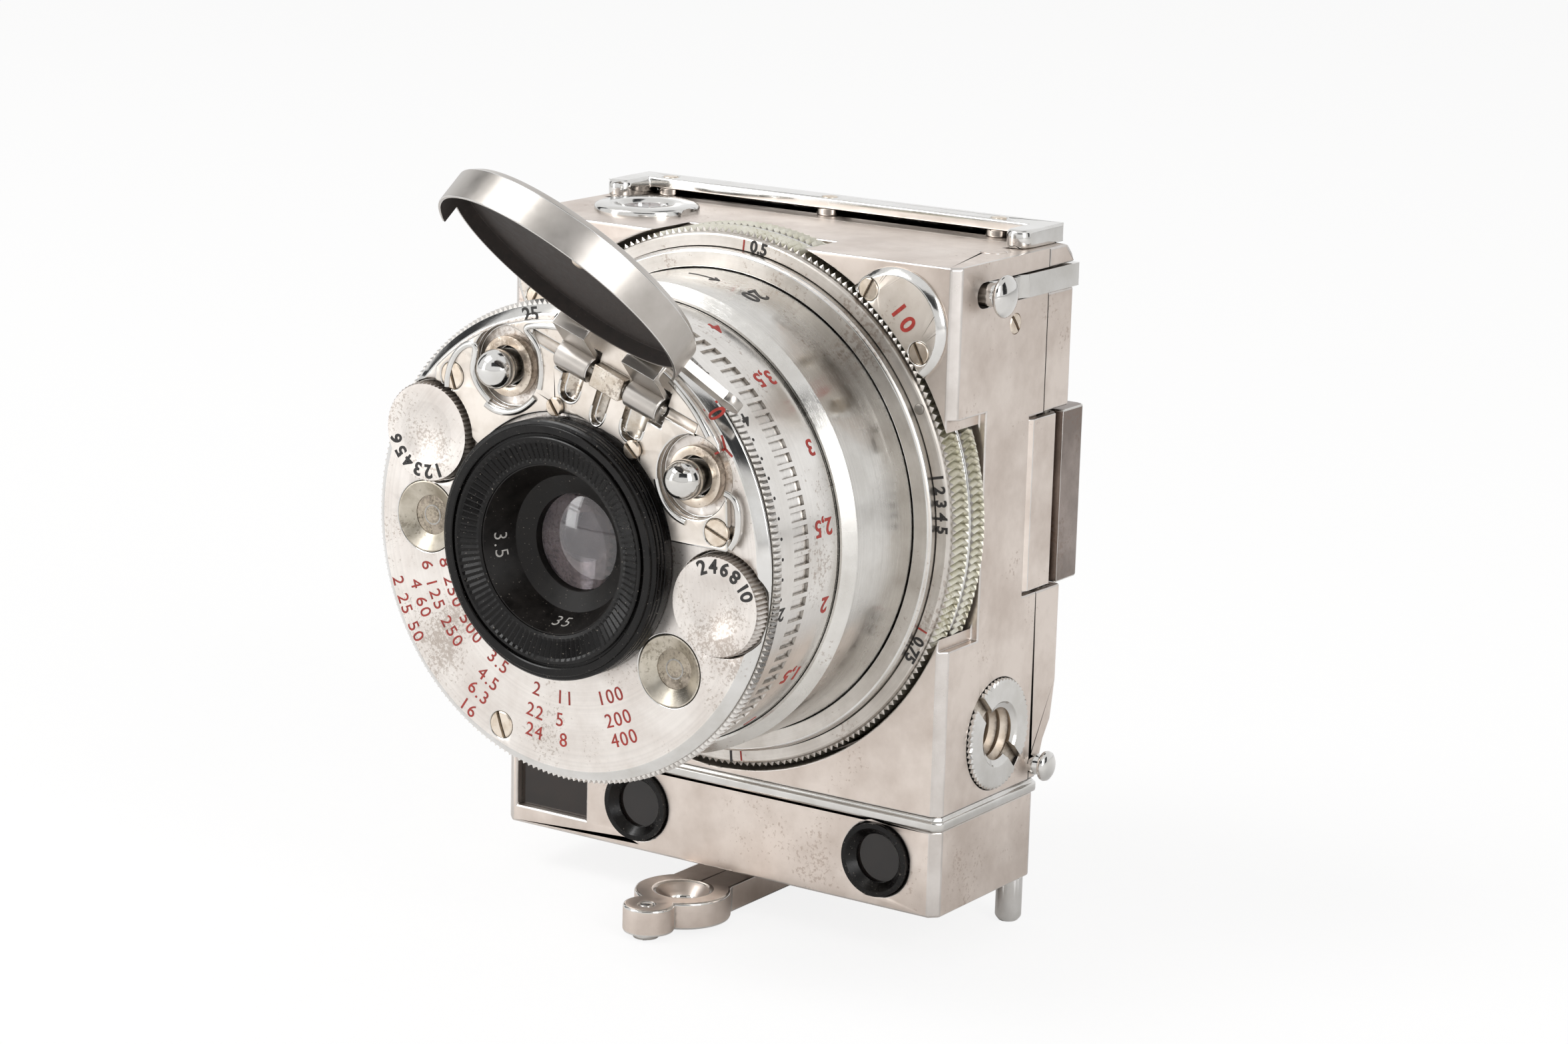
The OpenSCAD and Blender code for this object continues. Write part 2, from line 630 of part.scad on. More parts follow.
module stand_arm() color("#d3cfc9") at_front() translate([pivot_at[0], pivot_at[1], -arm_gap - arm_t])
    difference() {
    union() {
        cylinder(h = arm_t - run, r = arm_w / 2);
        translate([-arm_w / 2, -arm_hole_at, 0]) cube([arm_w, arm_hole_at, arm_t - run]);
        translate([0, -arm_hole_at, 0]) cylinder(h = arm_t - run, r = arm_lobe_r);
        translate([0, -arm_tip_at, 0]) cylinder(h = arm_t - run, r = arm_tip_r);
        translate([-arm_tip_r + 0.5, -arm_tip_at, 0]) cube([2 * arm_tip_r - 1, 3, arm_t - run]);
    }
    translate([0, 0, -over]) cylinder(h = arm_t + 2 * over, r = pivot_r + run);
    translate([0, 0, -over]) cylinder(h = 0.6 + over, r = pivot_r + pivot_rim + run);
    translate([0, -arm_hole_at, -over]) cylinder(h = arm_t + 2 * over, r = arm_hole_r);
    translate([0, -arm_hole_at, arm_t - run - 1.4]) cylinder(h = 1.5, r1 = arm_hole_r, r2 = 2 * arm_hole_r);
    translate([0, -arm_tip_at - 0.4, -over]) cylinder(h = arm_t + 2 * over, r = arm_foot_stem_r + seat);
}

module arm_foot() color("#c9c4bc") at_front()
    translate([pivot_at[0], pivot_at[1] - arm_tip_at - 0.4, -foot_len]) union() {
    cylinder(h = foot_len - arm_gap - arm_t, r = arm_foot_r);
    translate([0, 0, foot_len - arm_gap - arm_t]) cylinder(h = arm_t - run, r = arm_foot_stem_r);
}

module back_bridge() color("#bdb9b3") at_front() translate([0, 0, bridge_z - bridge_h / 2])
    linear_extrude(bridge_h) {
    w = half_w + 0.3;
    inner = w - 2.3;
    hook = catch_y + 1.35;
    rear = back_y + bridge_t;
    cut = 1;
    polygon([[-w, hook], [-inner, hook], [-inner, back_y], [inner, back_y], [inner, hook], [w, hook],
        [w, rear - cut], [w - 0.3, rear - 0.3], [w - cut, rear], [-w + cut, rear],
        [-w + 0.3, rear - 0.3], [-w, rear - cut]]);
}

module catch_pins() color("#a8a39b") at_front() for (s = [-1, 1])
    translate([s * catch_x, catch_y, bridge_z - bridge_h / 2 - 1.4])
        cylinder(h = bridge_h + 2.8, r = catch_pin_r);

module catch_leaf() {
    h = bridge_h - 0.2;
    difference() {
        translate([0, 0, bridge_z - h / 2]) linear_extrude(h) {
            translate([catch_x, catch_y]) circle(1.05);
            polygon([[half_w - catch_t, catch_front], [half_w - catch_t + 0.3, catch_front - 0.1],
                [half_w + 0.1, catch_front + 0.5], [half_w + 0.1, catch_y + 0.2],
                [catch_x + 0.2, catch_y + 1.02], [half_w - catch_t, catch_y - 0.6]]);
        }
        translate([catch_x, catch_y, 0]) cylinder(h = body_h, r = catch_pin_r + run);
    }
}

module right_catch() color("#c2beb8") at_front() catch_leaf();

module left_catch() color("#c2beb8") at_front() mirror([1, 0, 0]) catch_leaf();

module top_latch() color("#d8d5d0") union() {
    h = slot_h - 2 * run;
    on_right() {
        translate([latch_at, slot_z - h / 2, -slot_depth + 1.2]) cube([back_y + 0.5 - latch_at, h, 1.1]);
        translate([strap_front, slot_z - h / 2, -0.2]) cube([back_y + 0.5 - strap_front, h, strap_t]);
        spot([latch_at, slot_z], -slot_depth + run) cylinder(h = slot_depth + 1, r = h / 2);
        spot([latch_at, slot_z], 1) {
            cylinder(h = 0.5, r1 = h / 2, r2 = button_r);
            translate([0, 0, 0.5]) cylinder(h = 0.6, r = button_r);
            translate([0, 0, 1.1]) cylinder(h = 0.5, r1 = button_r, r2 = button_r - 0.8);
        }
    }
    at_front() translate([half_w - 2, back_y + 0.1, slot_z - h / 2]) cube([2.4, 0.4, h]);
}

module back_stud() color("#d8d5d0") on_right() spot(stud_at) union() {
    translate([0, 0, -stud_depth]) cylinder(h = stud_depth + 0.5, r = stud_stem_r);
    cylinder(h = 1, r1 = stud_neck_r, r2 = stud_neck_r - 0.3);
    translate([0, 0, 0.9]) cylinder(h = 0.4, r1 = stud_neck_r - 0.3, r2 = stud_head_r);
    translate([0, 0, 1.3]) cylinder(h = 0.4, r = stud_head_r);
    translate([0, 0, 1.7]) cylinder(h = 0.4, r1 = stud_head_r, r2 = stud_head_r - 0.7);
}

focus_front = 0.6;
strip_z = focus_front - focus_w - strip_w;
rear_z = strip_z - rear_w;

module focus_ring() color("#c9c39f") on_axis() translate([0, 0, focus_front - focus_w]) difference() {
    union() {
        cylinder(h = focus_w - 0.3, r = focus_r);
        translate([0, 0, focus_w - 0.3]) cylinder(h = 0.3, r1 = focus_r - 0.25, r2 = sleeve_r + 0.6);
    }
    translate([0, 0, -over]) cylinder(h = focus_w + 2 * over, r = sleeve_bore_r + 0.05);
}

module polished_strip() color("#e6e6e6") on_axis() translate([0, 0, strip_z])
    tube(focus_r - 0.15, sleeve_bore_r + 0.05, strip_w);

module rear_ring() color("#c3bd98") on_axis() translate([0, 0, rear_z])
    tube(focus_r, sleeve_bore_r + 0.05, rear_w);

module focus_sleeve() color("#c6c2bb") on_axis() translate([0, 0, -sleeve_back]) difference() {
    edge = 0.3;
    union() {
        cylinder(h = sleeve_back + sleeve_reach - edge, r = sleeve_r);
        translate([0, 0, sleeve_back + sleeve_reach - edge])
            cylinder(h = edge, r1 = sleeve_r, r2 = sleeve_r - edge);
    }
    translate([0, 0, -over]) cylinder(h = sleeve_back + sleeve_reach + 2 * over, r = sleeve_in_r);
}

module outer_barrel() color("#d4d1cb") on_axis() translate([0, 0, outer_reach - outer_len]) difference() {
    union() {
        cylinder(h = outer_len - 1.1, r = outer_r);
        translate([0, 0, outer_len - 1.1]) cylinder(h = 1.1, r1 = outer_r, r2 = outer_in_r + 0.25);
    }
    translate([0, 0, -over]) cylinder(h = outer_len + 2 * over, r = outer_in_r);
}

module inner_barrel() color("#c7c3bc") on_axis() translate([0, 0, outer_reach - inner_hold]) difference() {
    union() {
        cylinder(h = inner_hold, r = speed_r);
        cylinder(h = disc_back - outer_reach + inner_hold - seat, r = inner_r);
    }
    translate([0, 0, -over]) cylinder(h = 30, r = inner_in_r);
}

module speed_ring() color("#cdc9c2") on_axis() difference() {
    union() {
        translate([0, 0, outer_reach + run]) cylinder(h = rim_z - outer_reach, r = speed_r);
        translate([0, 0, rim_z]) cylinder(h = rim_t, r = rim_r);
    }
    translate([0, 0, outer_reach]) cylinder(h = 20, r = inner_r + run);
}

module shutter_plate() color("#8f8c86") on_axis() difference() {
    union() {
        translate([0, 0, plate_z]) cylinder(h = plate_t, r = inner_in_r - seat);
        spot(aperture_pin, plate_z) cylinder(h = turret_z + turret_t + 0.2 - plate_z, r = turret_pin_r);
        spot(filter_pin, plate_z) cylinder(h = filter_layer + turret_t + 0.2 - plate_z, r = turret_pin_r);
        spot(shutter_at, plate_z) cylinder(h = shutter_z + 0.4 - plate_z, r = turret_pin_r);
        spot(aperture_pin, plate_z) cylinder(h = turret_z - run - plate_z, r = turret_pin_r + 0.6);
        spot(filter_pin, plate_z) cylinder(h = filter_layer - run - plate_z, r = turret_pin_r + 0.6);
        spot(shutter_at, plate_z) cylinder(h = shutter_z - run - plate_z, r = turret_pin_r + 0.6);
    }
    translate([0, 0, plate_z - over]) cylinder(h = plate_t + 2 * over, r = rear_bore_r);
}

module shutter_disc() color("#6d6a66") on_axis() spot(shutter_at, shutter_z) difference() {
    cylinder(h = 0.3, r = shutter_r);
    translate([0, 0, -over]) cylinder(h = 3, r = turret_pin_r + run);
    intersection() {
        translate([0, 0, -over]) tube(shutter_at[1] + 2.3, shutter_at[1] - 2.3, 3);
        translate([0, 0, -over]) linear_extrude(3)
            polygon([[0, 0], polar(20, 200), polar(20, 230), polar(20, 250)]);
    }
}

module turret(hole_count, sizes) {
    difference() {
        linear_extrude(turret_t) gear_outline(turret_n, gear_m);
        translate([0, 0, -over]) cylinder(h = 3, r = turret_pin_r + run);
        for (i = [0 : hole_count - 1]) rotate([0, 0, i * 360 / hole_count]) translate([turret_at, 0, -over])
            cylinder(h = 3, r = sizes[i]);
    }
}

// Each turret has the gap between two teeth on the line to its pinion
function mesh_turn(dir, teeth) = (dir / (360 / teeth) - floor(dir / (360 / teeth)) + 0.5) * 360 / teeth;
function dir_of(a, b) = atan2(b[1] - a[1], b[0] - a[0]);
function hole_turn(at, teeth) = round((dir_of(at, [0, 0])) / (360 / teeth)) * 360 / teeth;

aperture_sizes = [2.6, 2, 1.4, 0.8];
filter_sizes = [2.6, 2.6, 2.6, 2.6];

module geared_turret(at, knob_dir, z, sizes) {
    spot(at, z) rotate([0, 0, mesh_turn(dir_of(at, polar(knob_at, knob_dir)), turret_n)
        + hole_turn(at, turret_n)]) turret(4, sizes);
}

module aperture_turret() color("#7b7873") on_axis()
    geared_turret(aperture_pin, aperture_ang, turret_z, aperture_sizes);

module filter_turret() color("#86817a") on_axis()
    geared_turret(filter_pin, filter_ang, filter_layer, filter_sizes);

// Knob with a dished face, its stem and the pinion that turns a turret
module setting_knob(ang, pin_at, layer) {
    at = polar(knob_at, ang);
    spot(at) difference() {
        union() {
            translate([0, 0, knob_floor + run]) cylinder(h = knob_face - knob_floor - run - 0.25, r = knob_r);
            translate([0, 0, knob_face - 0.25]) cylinder(h = 0.25, r1 = knob_r, r2 = knob_r - 0.25);
            translate([0, 0, layer]) cylinder(h = knob_floor + 0.5 - layer, r = knob_stem_r);
            translate([0, 0, layer]) rotate([0, 0, dir_of(at, pin_at)]) linear_extrude(turret_t)
                gear_outline(pinion_n, gear_m);
        }
        translate([0, 0, knob_face - 0.45]) cylinder(h = 0.5, r1 = 0.1, r2 = 2.9);
    }
}

module aperture_knob() color("#d7d3cd") on_axis() setting_knob(aperture_ang, aperture_pin, turret_z);

module filter_knob() color("#d7d3cd") on_axis() setting_knob(filter_ang, filter_pin, filter_layer);

module release(at) {
    foot = disc_back - boss_t - 0.7;
    spot(at) union() {
        translate([0, 0, foot]) cylinder(h = dome_z - foot, r = pin_r);
        translate([0, 0, foot]) cylinder(h = 0.6, r = pin_r + 0.45);
        translate([0, 0, dome_z]) sphere(r = dome_r);
    }
}

module left_release() color("#dcdcdc") on_axis() release(left_pin_at);

module right_release() color("#dcdcdc") on_axis() release(right_pin_at);

module release_collars() color("#c9bda9") on_axis() for (p = release_at) spot(p, well_floor)
    tube(collar_r, dome_r + run, collar_h);

// Hinge frame on the disc: x along the hinge pin, y away from the lens axis, z forward from the pin's axis
module at_hinge() {
    rotate([0, 0, hinge_ang - 90]) translate([0, hinge_at, hinge_z]) children();
}

module knuckle_pockets(w) {
    for (s = [-1, 1]) at_hinge() translate([s * knuckle_at - w / 2, -1.75, -1.55]) cube([w, 3.6, 5]);
}

module front_disc() color("#cbc7c0") on_axis() difference() {
    union() {
        translate([0, 0, disc_back]) cylinder(h = 0.25, r = disc_r);
        translate([0, 0, disc_back + 0.25]) cylinder(h = 0.8, r1 = disc_r, r2 = disc_r - 0.9);
        translate([0, 0, disc_back - boss_t]) cylinder(h = boss_t + 0.1, r = inner_in_r - seat);
    }
    translate([0, 0, disc_back - boss_t - over]) cylinder(h = 4, r = cell_r + 1.2 + seat);
    for (a = [aperture_ang, filter_ang]) spot(polar(knob_at, a)) {
        translate([0, 0, knob_floor]) cylinder(h = 3, r = knob_r + 0.2);
        cylinder(h = 30, r = knob_stem_r + run);
    }
    for (p = release_at) spot(p) {
        translate([0, 0, well_floor]) cylinder(h = 3, r = release_well);
        cylinder(h = 30, r = pin_r + run);
    }
    for (p = cone_at) spot(p) {
        translate([0, 0, face_reach - cone_d - seat]) cylinder(h = 3, r = cone_r + seat);
        cylinder(h = 30, r = cone_hole_r);
    }
    for (p = disc_screw_at) spot(p) {
        translate([0, 0, disc_back + 0.2 - seat]) cylinder(h = 2, r = screw_stem_r + seat);
        translate([0, 0, face_reach - screw_sink]) cylinder(h = 1, r = disc_screw_r + seat);
    }
    for (p = plate_screw_at) spot(p, disc_back - boss_t - over) cylinder(h = 5, r = plate_stem_r + seat);
    knuckle_pockets(knuckle_w + 0.5);
}

module cover_outline() {
    difference() {
        intersection() {
            circle(r = disc_r - 1.3);
            polygon([[-8, 7], [-10.4, 8.8], [-13.9, 11.8], [-15.2, 14.2], [-14, 30], [14, 30],
                [18.8, 7], [19, 2.5], [8, 2.5]]);
        }
        circle(r = lens_ring_r + 0.4);
        for (a = [aperture_ang, filter_ang]) translate(polar(knob_at, a)) circle(r = knob_r + 0.3);
        for (p = release_at) translate(p) circle(r = release_well);
    }
}

module cover_plate() color("#dddbd6") on_axis() difference() {
    union() {
        translate([0, 0, face_reach]) linear_extrude(cover_t) cover_outline();
        at_hinge() translate([-lug_w / 2, -1.1, -0.2]) cube([lug_w, 2.2, 1.2]);
    }
    knuckle_pockets(knuckle_w + 0.5);
    at_hinge() rotate([0, 90, 0]) translate([0, 0, -10]) cylinder(h = 20, r = hinge_pin_r + seat);
    for (p = disc_screw_at) spot(p, face_reach - over) cylinder(h = 4, r = disc_screw_r + seat);
    for (p = plate_screw_at) spot(p, face_reach - over) cylinder(h = 4, r = plate_stem_r + seat);
    for (u = [-pocket_at, 0, pocket_at]) at_hinge() translate([u, -3.1, -0.7]) rotate([0, 0, 90])
        linear_extrude(3) round_bar(-0.6, 0.8, finger_r);
}

module disc_screws() color("#c8b9a0") on_axis() for (i = [0 : 2]) spot(disc_screw_at[i]) {
    head = screw_sink + 0.05 + (i == 2 ? 0 : cover_t);
    translate([0, 0, face_reach - screw_sink]) slotted_head(disc_screw_r, head, 40 + 35 * i);
    translate([0, 0, disc_back + 0.2]) cylinder(h = 0.5, r = screw_stem_r);
}

module plate_screws() color("#c3b69e") on_axis() for (p = plate_screw_at) spot(p) {
    translate([0, 0, cover_z]) slotted_head(plate_screw_r, 0.5, -50);
    translate([0, 0, disc_back - boss_t]) cylinder(h = cover_z - disc_back + boss_t, r = plate_stem_r);
}

module window_cones() color("#bfb8ac") on_axis() for (p = cone_at) spot(p, face_reach - cone_d) difference() {
    cylinder(h = cone_d, r = cone_r);
    translate([0, 0, 0.2]) cylinder(h = cone_d - 0.2 + 0.01, r1 = cone_hole_r, r2 = cone_r - 0.1);
    translate([0, 0, -over]) cylinder(h = 3, r = cone_hole_r);
}

module lens_ring() color("#161616") on_axis() difference() {
    union() {
        translate([0, 0, face_reach + 0.05]) cylinder(h = lens_ring_h - 0.55, r = lens_ring_r);
        translate([0, 0, lens_top - 0.5]) cylinder(h = 0.5, r1 = lens_ring_r, r2 = lens_ring_r - 0.5);
        translate([0, 0, disc_back - boss_t]) cylinder(h = boss_t + 1.2, r = cell_r + 1.2);
    }
    translate([0, 0, cell_back - over]) cylinder(h = 20, r = cell_r);
    translate([0, 0, lens_top - 0.75]) cylinder(h = 0.8, r1 = cell_r, r2 = ring_cone_r);
    translate([0, 0, lens_top - 0.35]) tube(groove_r + 0.3, groove_r, 1);
}

// Black inner mount: a steep name ring, a short cone and the seat of the front glass
module lens_hood() color("#101010") on_axis() difference() {
    translate([0, 0, cell_back]) cylinder(h = lens_top - 0.85 - cell_back, r = cell_r - seat);
    translate([0, 0, hood_step_z])
        cylinder(h = lens_top - 0.84 - hood_step_z, r1 = hood_step_r, r2 = cell_r - 0.15);
    translate([0, 0, hood_step_z - 0.8]) cylinder(h = 0.81, r1 = glass_r + 0.1, r2 = hood_step_r);
    translate([0, 0, cell_back - over]) cylinder(h = 4, r = glass_r + seat);
}

module front_glass() color("#9aa3a8") on_axis() intersection() {
    translate([0, 0, cell_back]) cylinder(h = 3, r = glass_r);
    translate([0, 0, glass_top - glass_dome_r]) sphere(r = glass_dome_r);
}

module rear_cell() color("#1a1a1a") on_axis() difference() {
    union() {
        translate([0, 0, plate_z - rear_cell_len]) cylinder(h = rear_cell_len, r = rear_cell_r);
        translate([0, 0, plate_z - seat - 1]) cylinder(h = 1, r = rear_flange_r);
    }
    translate([0, 0, plate_z - rear_cell_len + 2]) cylinder(h = rear_cell_len, r = rear_bore_r);
}

// Cap in the hinge frame as it lies closed, swung open about the pin
module cap_pose() { at_hinge() rotate([-cap_open, 0, 0]) children(); }

// Leaf that leaves the knuckle at its top and turns up against the cap's wall
module cap_leaf() {
    edge = hinge_at - cap_r;
    low = knuckle_r - leaf_t;
    polygon([[0, low], [-edge - cap_wall + 0.05, low], [-edge - cap_wall + 0.05, cap_cut + 0.9],
        [-edge + 0.35, cap_cut + 0.9], [-edge + 0.35, knuckle_r + 0.2], [-edge + 0.6, knuckle_r],
        [0, knuckle_r]]);
}

// Fingernail lug on the wall of the cap
module cap_lug() {
    rotate([0, 0, lug_turn]) translate([0, 0, cap_h - 1.85]) union() {
        translate([cap_r - cap_wall + 0.05, -lug_tab_w / 2, 0]) cube([lug_reach - cap_r, lug_tab_w, 0.9]);
        translate([lug_reach - 0.6, 0, 0]) cylinder(h = 0.9, r = lug_tab_w / 2 + 0.25);
    }
}

module lens_cap() color("#d0cecb") on_axis() cap_pose() difference() {
    union() {
        translate([0, -hinge_at, cap_floor - hinge_z]) difference() {
            union() {
                cylinder(h = cap_h - 0.6, r = cap_r);
                translate([0, 0, cap_h - 0.6]) cylinder(h = 0.6, r1 = cap_r, r2 = cap_r - 0.7);
            }
            translate([0, 0, -over]) cylinder(h = cap_h - 0.5 + over, r = cap_r - cap_wall);
            rotate([0, 0, -hinge_ang + 90]) translate([0, 0, -over]) linear_extrude(cap_cut + over)
                difference() {
                    polygon([[0, 0], polar(30, 12), polar(30, 60), polar(30, 110), polar(30, 168)]);
                    circle(r = cap_r - cap_wall - 1);
                }
        }
        translate([0, -hinge_at, cap_floor - hinge_z]) cap_lug();
        for (s = [-1, 1]) translate([s * knuckle_at - knuckle_w / 2, 0, 0]) rotate([90, 0, 90])
            linear_extrude(knuckle_w) {
            circle(r = knuckle_r);
            cap_leaf();
        }
    }
    rotate([0, 90, 0]) translate([0, 0, -10]) cylinder(h = 20, r = hinge_pin_r + run);
}

module hinge_pin() color("#b5b0a8") on_axis() at_hinge() rotate([0, 90, 0])
    translate([0, 0, -hinge_pin_len / 2]) cylinder(h = hinge_pin_len, r = hinge_pin_r);

main_body();
back_cover();
finder_block();
ledge_band();
viewfinder_window();
eyepieces();
rangefinder_bezels();
rangefinder_glasses();
beam_splitter();
turning_mirror();
corner_plates();
corner_screws();
level_ring();
level_glass();
level_disc();
top_rail();
rail_rivets();
top_plug();
side_screw();
tripod_bush();
film_gate();
focusing_screen();
pressure_plate();
foot_pins();
arm_pivot();
stand_arm();
arm_foot();
back_bridge();
catch_pins();
right_catch();
left_catch();
top_latch();
back_stud();
focus_ring();
polished_strip();
rear_ring();
focus_sleeve();
outer_barrel();
inner_barrel();
shutter_plate();
shutter_disc();
speed_ring();
front_disc();
cover_plate();
disc_screws();
plate_screws();
window_cones();
aperture_knob();
filter_knob();
aperture_turret();
filter_turret();
left_release();
right_release();
release_collars();
lens_ring();
lens_hood();
front_glass();
rear_cell();
lens_cap();
hinge_pin();
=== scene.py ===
import json
import math
import bmesh
import bpy
from mathutils import Matrix, Vector

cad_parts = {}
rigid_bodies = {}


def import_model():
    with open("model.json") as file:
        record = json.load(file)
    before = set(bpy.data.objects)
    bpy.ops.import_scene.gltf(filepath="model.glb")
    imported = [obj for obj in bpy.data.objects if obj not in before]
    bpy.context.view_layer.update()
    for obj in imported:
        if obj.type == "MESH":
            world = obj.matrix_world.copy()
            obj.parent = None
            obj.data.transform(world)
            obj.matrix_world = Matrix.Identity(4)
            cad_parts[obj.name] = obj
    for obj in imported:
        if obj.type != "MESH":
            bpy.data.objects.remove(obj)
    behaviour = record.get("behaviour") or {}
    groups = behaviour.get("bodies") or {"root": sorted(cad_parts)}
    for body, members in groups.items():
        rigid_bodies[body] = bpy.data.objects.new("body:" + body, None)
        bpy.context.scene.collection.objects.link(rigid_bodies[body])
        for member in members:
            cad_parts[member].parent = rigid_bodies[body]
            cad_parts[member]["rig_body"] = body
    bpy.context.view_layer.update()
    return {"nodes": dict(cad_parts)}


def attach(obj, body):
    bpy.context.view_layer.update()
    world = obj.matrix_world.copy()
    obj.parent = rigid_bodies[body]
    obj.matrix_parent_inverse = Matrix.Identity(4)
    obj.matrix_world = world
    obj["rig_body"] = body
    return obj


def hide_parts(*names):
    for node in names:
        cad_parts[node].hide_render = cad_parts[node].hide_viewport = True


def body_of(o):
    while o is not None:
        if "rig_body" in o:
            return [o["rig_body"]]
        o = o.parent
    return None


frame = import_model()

nodes = frame["nodes"]
mm = 0.001

# Places that all pieces share, in millimetres, the same as in the CAD
body = {"frontY": -9.4, "axisZ": 38.5, "halfWidth": 26.5, "top": 64.7, "floor": -4.8, "seamAt": 17.3,
        "cornerAt": (19.7, 58.4), "bushAt": (10.6, 16.7), "bushSeat": 5.73, "latchAt": (5.9, 61.55),
        "sideScrewAt": (11.1, 58.0)}


def turn(degrees, axis):
    return Matrix.Rotation(math.radians(degrees), 4, axis)


def shift(x, y, z):
    return Matrix.Translation((x * mm, y * mm, z * mm))


# Working planes: a piece is made flat at the origin, then its mesh goes to its place
lensAxis = shift(0, body["frontY"], body["axisZ"]) @ turn(90, "X")
rightSide = Matrix(((0, 0, 1, body["halfWidth"] * mm), (1, 0, 0, body["frontY"] * mm),
                    (0, 1, 0, 0), (0, 0, 0, 1)))


def onFront(x, z, y=0):
    return shift(x, body["frontY"] + y, z) @ turn(90, "X")


def onTop(x, y, rise=0):
    return shift(x, body["frontY"] + y, body["top"] + rise)


def polar(radius, degrees):
    return radius * math.cos(math.radians(degrees)), radius * math.sin(math.radians(degrees))


# Camera, floor and light
print("camera and light")
studio = {
    "lens": 91.38,
    "place": (0.217890, -0.328515, 0.126325),
    "angles": (76.88419, -1.55543, 33.75664),
    "floorColour": "#F4F3F2",
    "floorOwnLight": 0.85,  # share of the floor's white that doesn't depend on the lamps
    "keyPower": 7.8,
    "fillPower": 4.4,
    "worldFill": 0.6,
    "windowPower": 0.3,
}
bpy.ops.object.select_all(action="DESELECT")
bpy.ops.object.camera_add(location=studio["place"], rotation=[math.radians(a) for a in studio["angles"]])
camera = bpy.context.object
camera.name = "photo_camera"
camera.data.lens = studio["lens"]
camera.data.sensor_width = 36
camera.data.clip_start = 0.01
bpy.context.scene.camera = camera
bpy.context.scene.view_settings.view_transform = "Standard"


# sRGB hex to linear RGBA
def linear(hexColour):
    channels = [int(hexColour[i:i + 2], 16) / 255 for i in (1, 3, 5)]
    return [c / 12.92 if c <= 0.04045 else ((c + 0.055) / 1.055) ** 2.4 for c in channels] + [1]


# Adds a shader node with its settings; an input is a value, or another node's output to link
def addNode(tree, kind, inputs=None, **settings):
    node = tree.nodes.new("ShaderNode" + kind)
    for name, value in settings.items():
        setattr(node, name, value)
    for name, value in (inputs or {}).items():
        if isinstance(value, bpy.types.NodeSocket):
            tree.links.new(value, node.inputs[name])
        else:
            node.inputs[name].default_value = value
    return node


def newMaterial(name):
    made = bpy.data.materials.new(name)
    made.use_nodes = True
    made.node_tree.nodes.clear()
    return made, made.node_tree


def setRamp(node, stops):
    ramp = node.color_ramp
    while len(ramp.elements) < len(stops):
        ramp.elements.new(0.5)
    for element, (place, value) in zip(ramp.elements, stops):
        element.position = place
        element.color = linear(value)


# Short forms of the nodes that the materials use again and again; each gives its output
def noise(tree, where, size, **settings):
    inputs = {"Vector": where, "Scale": 1000 / size}
    inputs.update((name.capitalize(), value) for name, value in settings.items())
    return addNode(tree, "TexNoise", inputs).outputs[0]


def ramp(tree, value, stops):
    node = addNode(tree, "ValToRGB", {"Fac": value})
    setRamp(node, stops)
    return node.outputs[0]


def calculate(tree, operation, *values, clamp=False):
    inputs = dict(enumerate(values))
    return addNode(tree, "Math", inputs, operation=operation, use_clamp=clamp).outputs[0]


def spread(tree, value, lowest, highest, low, high):
    return addNode(tree, "MapRange", {
        "Value": value, "From Min": lowest, "From Max": highest, "To Min": low, "To Max": high}).outputs[0]


def mix(tree, share, first, second, blend="MIX"):
    return addNode(tree, "MixRGB", {"Fac": share, "Color1": first, "Color2": second},
                   blend_type=blend).outputs[0]


def objectSpace(tree):
    return addNode(tree, "TexCoord").outputs["Object"]


def surface(tree, shader):
    addNode(tree, "OutputMaterial", {"Surface": shader.outputs[0]})


def bump(tree, height, relief):
    return addNode(tree, "Bump", {
        "Height": height, "Strength": 1.0, "Distance": relief * mm * 0.001}).outputs[0]


def aimedLamp(name, place, size, power):
    bpy.ops.object.light_add(type="AREA", location=place)
    lamp = bpy.context.object
    lamp.name = name
    lamp.data.shape = "RECTANGLE"
    lamp.data.size, lamp.data.size_y = size
    lamp.data.energy = power
    lamp.rotation_euler = (Vector((0, 0, 0.035)) - Vector(place)).to_track_quat("-Z", "Y").to_euler()
    return lamp


aimedLamp("key_lamp", (-0.55, -0.55, 0.95), (0.55, 0.55), studio["keyPower"])
aimedLamp("fill_lamp", (0.9, -0.35, 0.45), (0.35, 0.7), studio["fillPower"])

# A small window of four panes, low at the left: it shows in the glass and on the polished heads
for across in (-0.09, 0.09):
    for up in (-0.14, 0.14):
        aimedLamp("window_pane", (-0.62 + across, -0.72 + across, 0.22 + up), (0.2, 0.25),
                  studio["windowPower"])

world = bpy.data.worlds.new("studio")
bpy.context.scene.world = world
world.use_nodes = True
tree = world.node_tree
tree.nodes.clear()
path = addNode(tree, "LightPath")
seen = calculate(tree, "MAXIMUM", path.outputs["Is Camera Ray"], path.outputs["Is Glossy Ray"])
seen = calculate(tree, "MAXIMUM", seen, path.outputs["Is Transmission Ray"])
level = spread(tree, seen, 0.0, 1.0, studio["worldFill"], 1.0)
sky = addNode(tree, "Background", {"Color": linear("#FFFFFF"), "Strength": level})
addNode(tree, "OutputWorld", {"Surface": sky.outputs[0]})

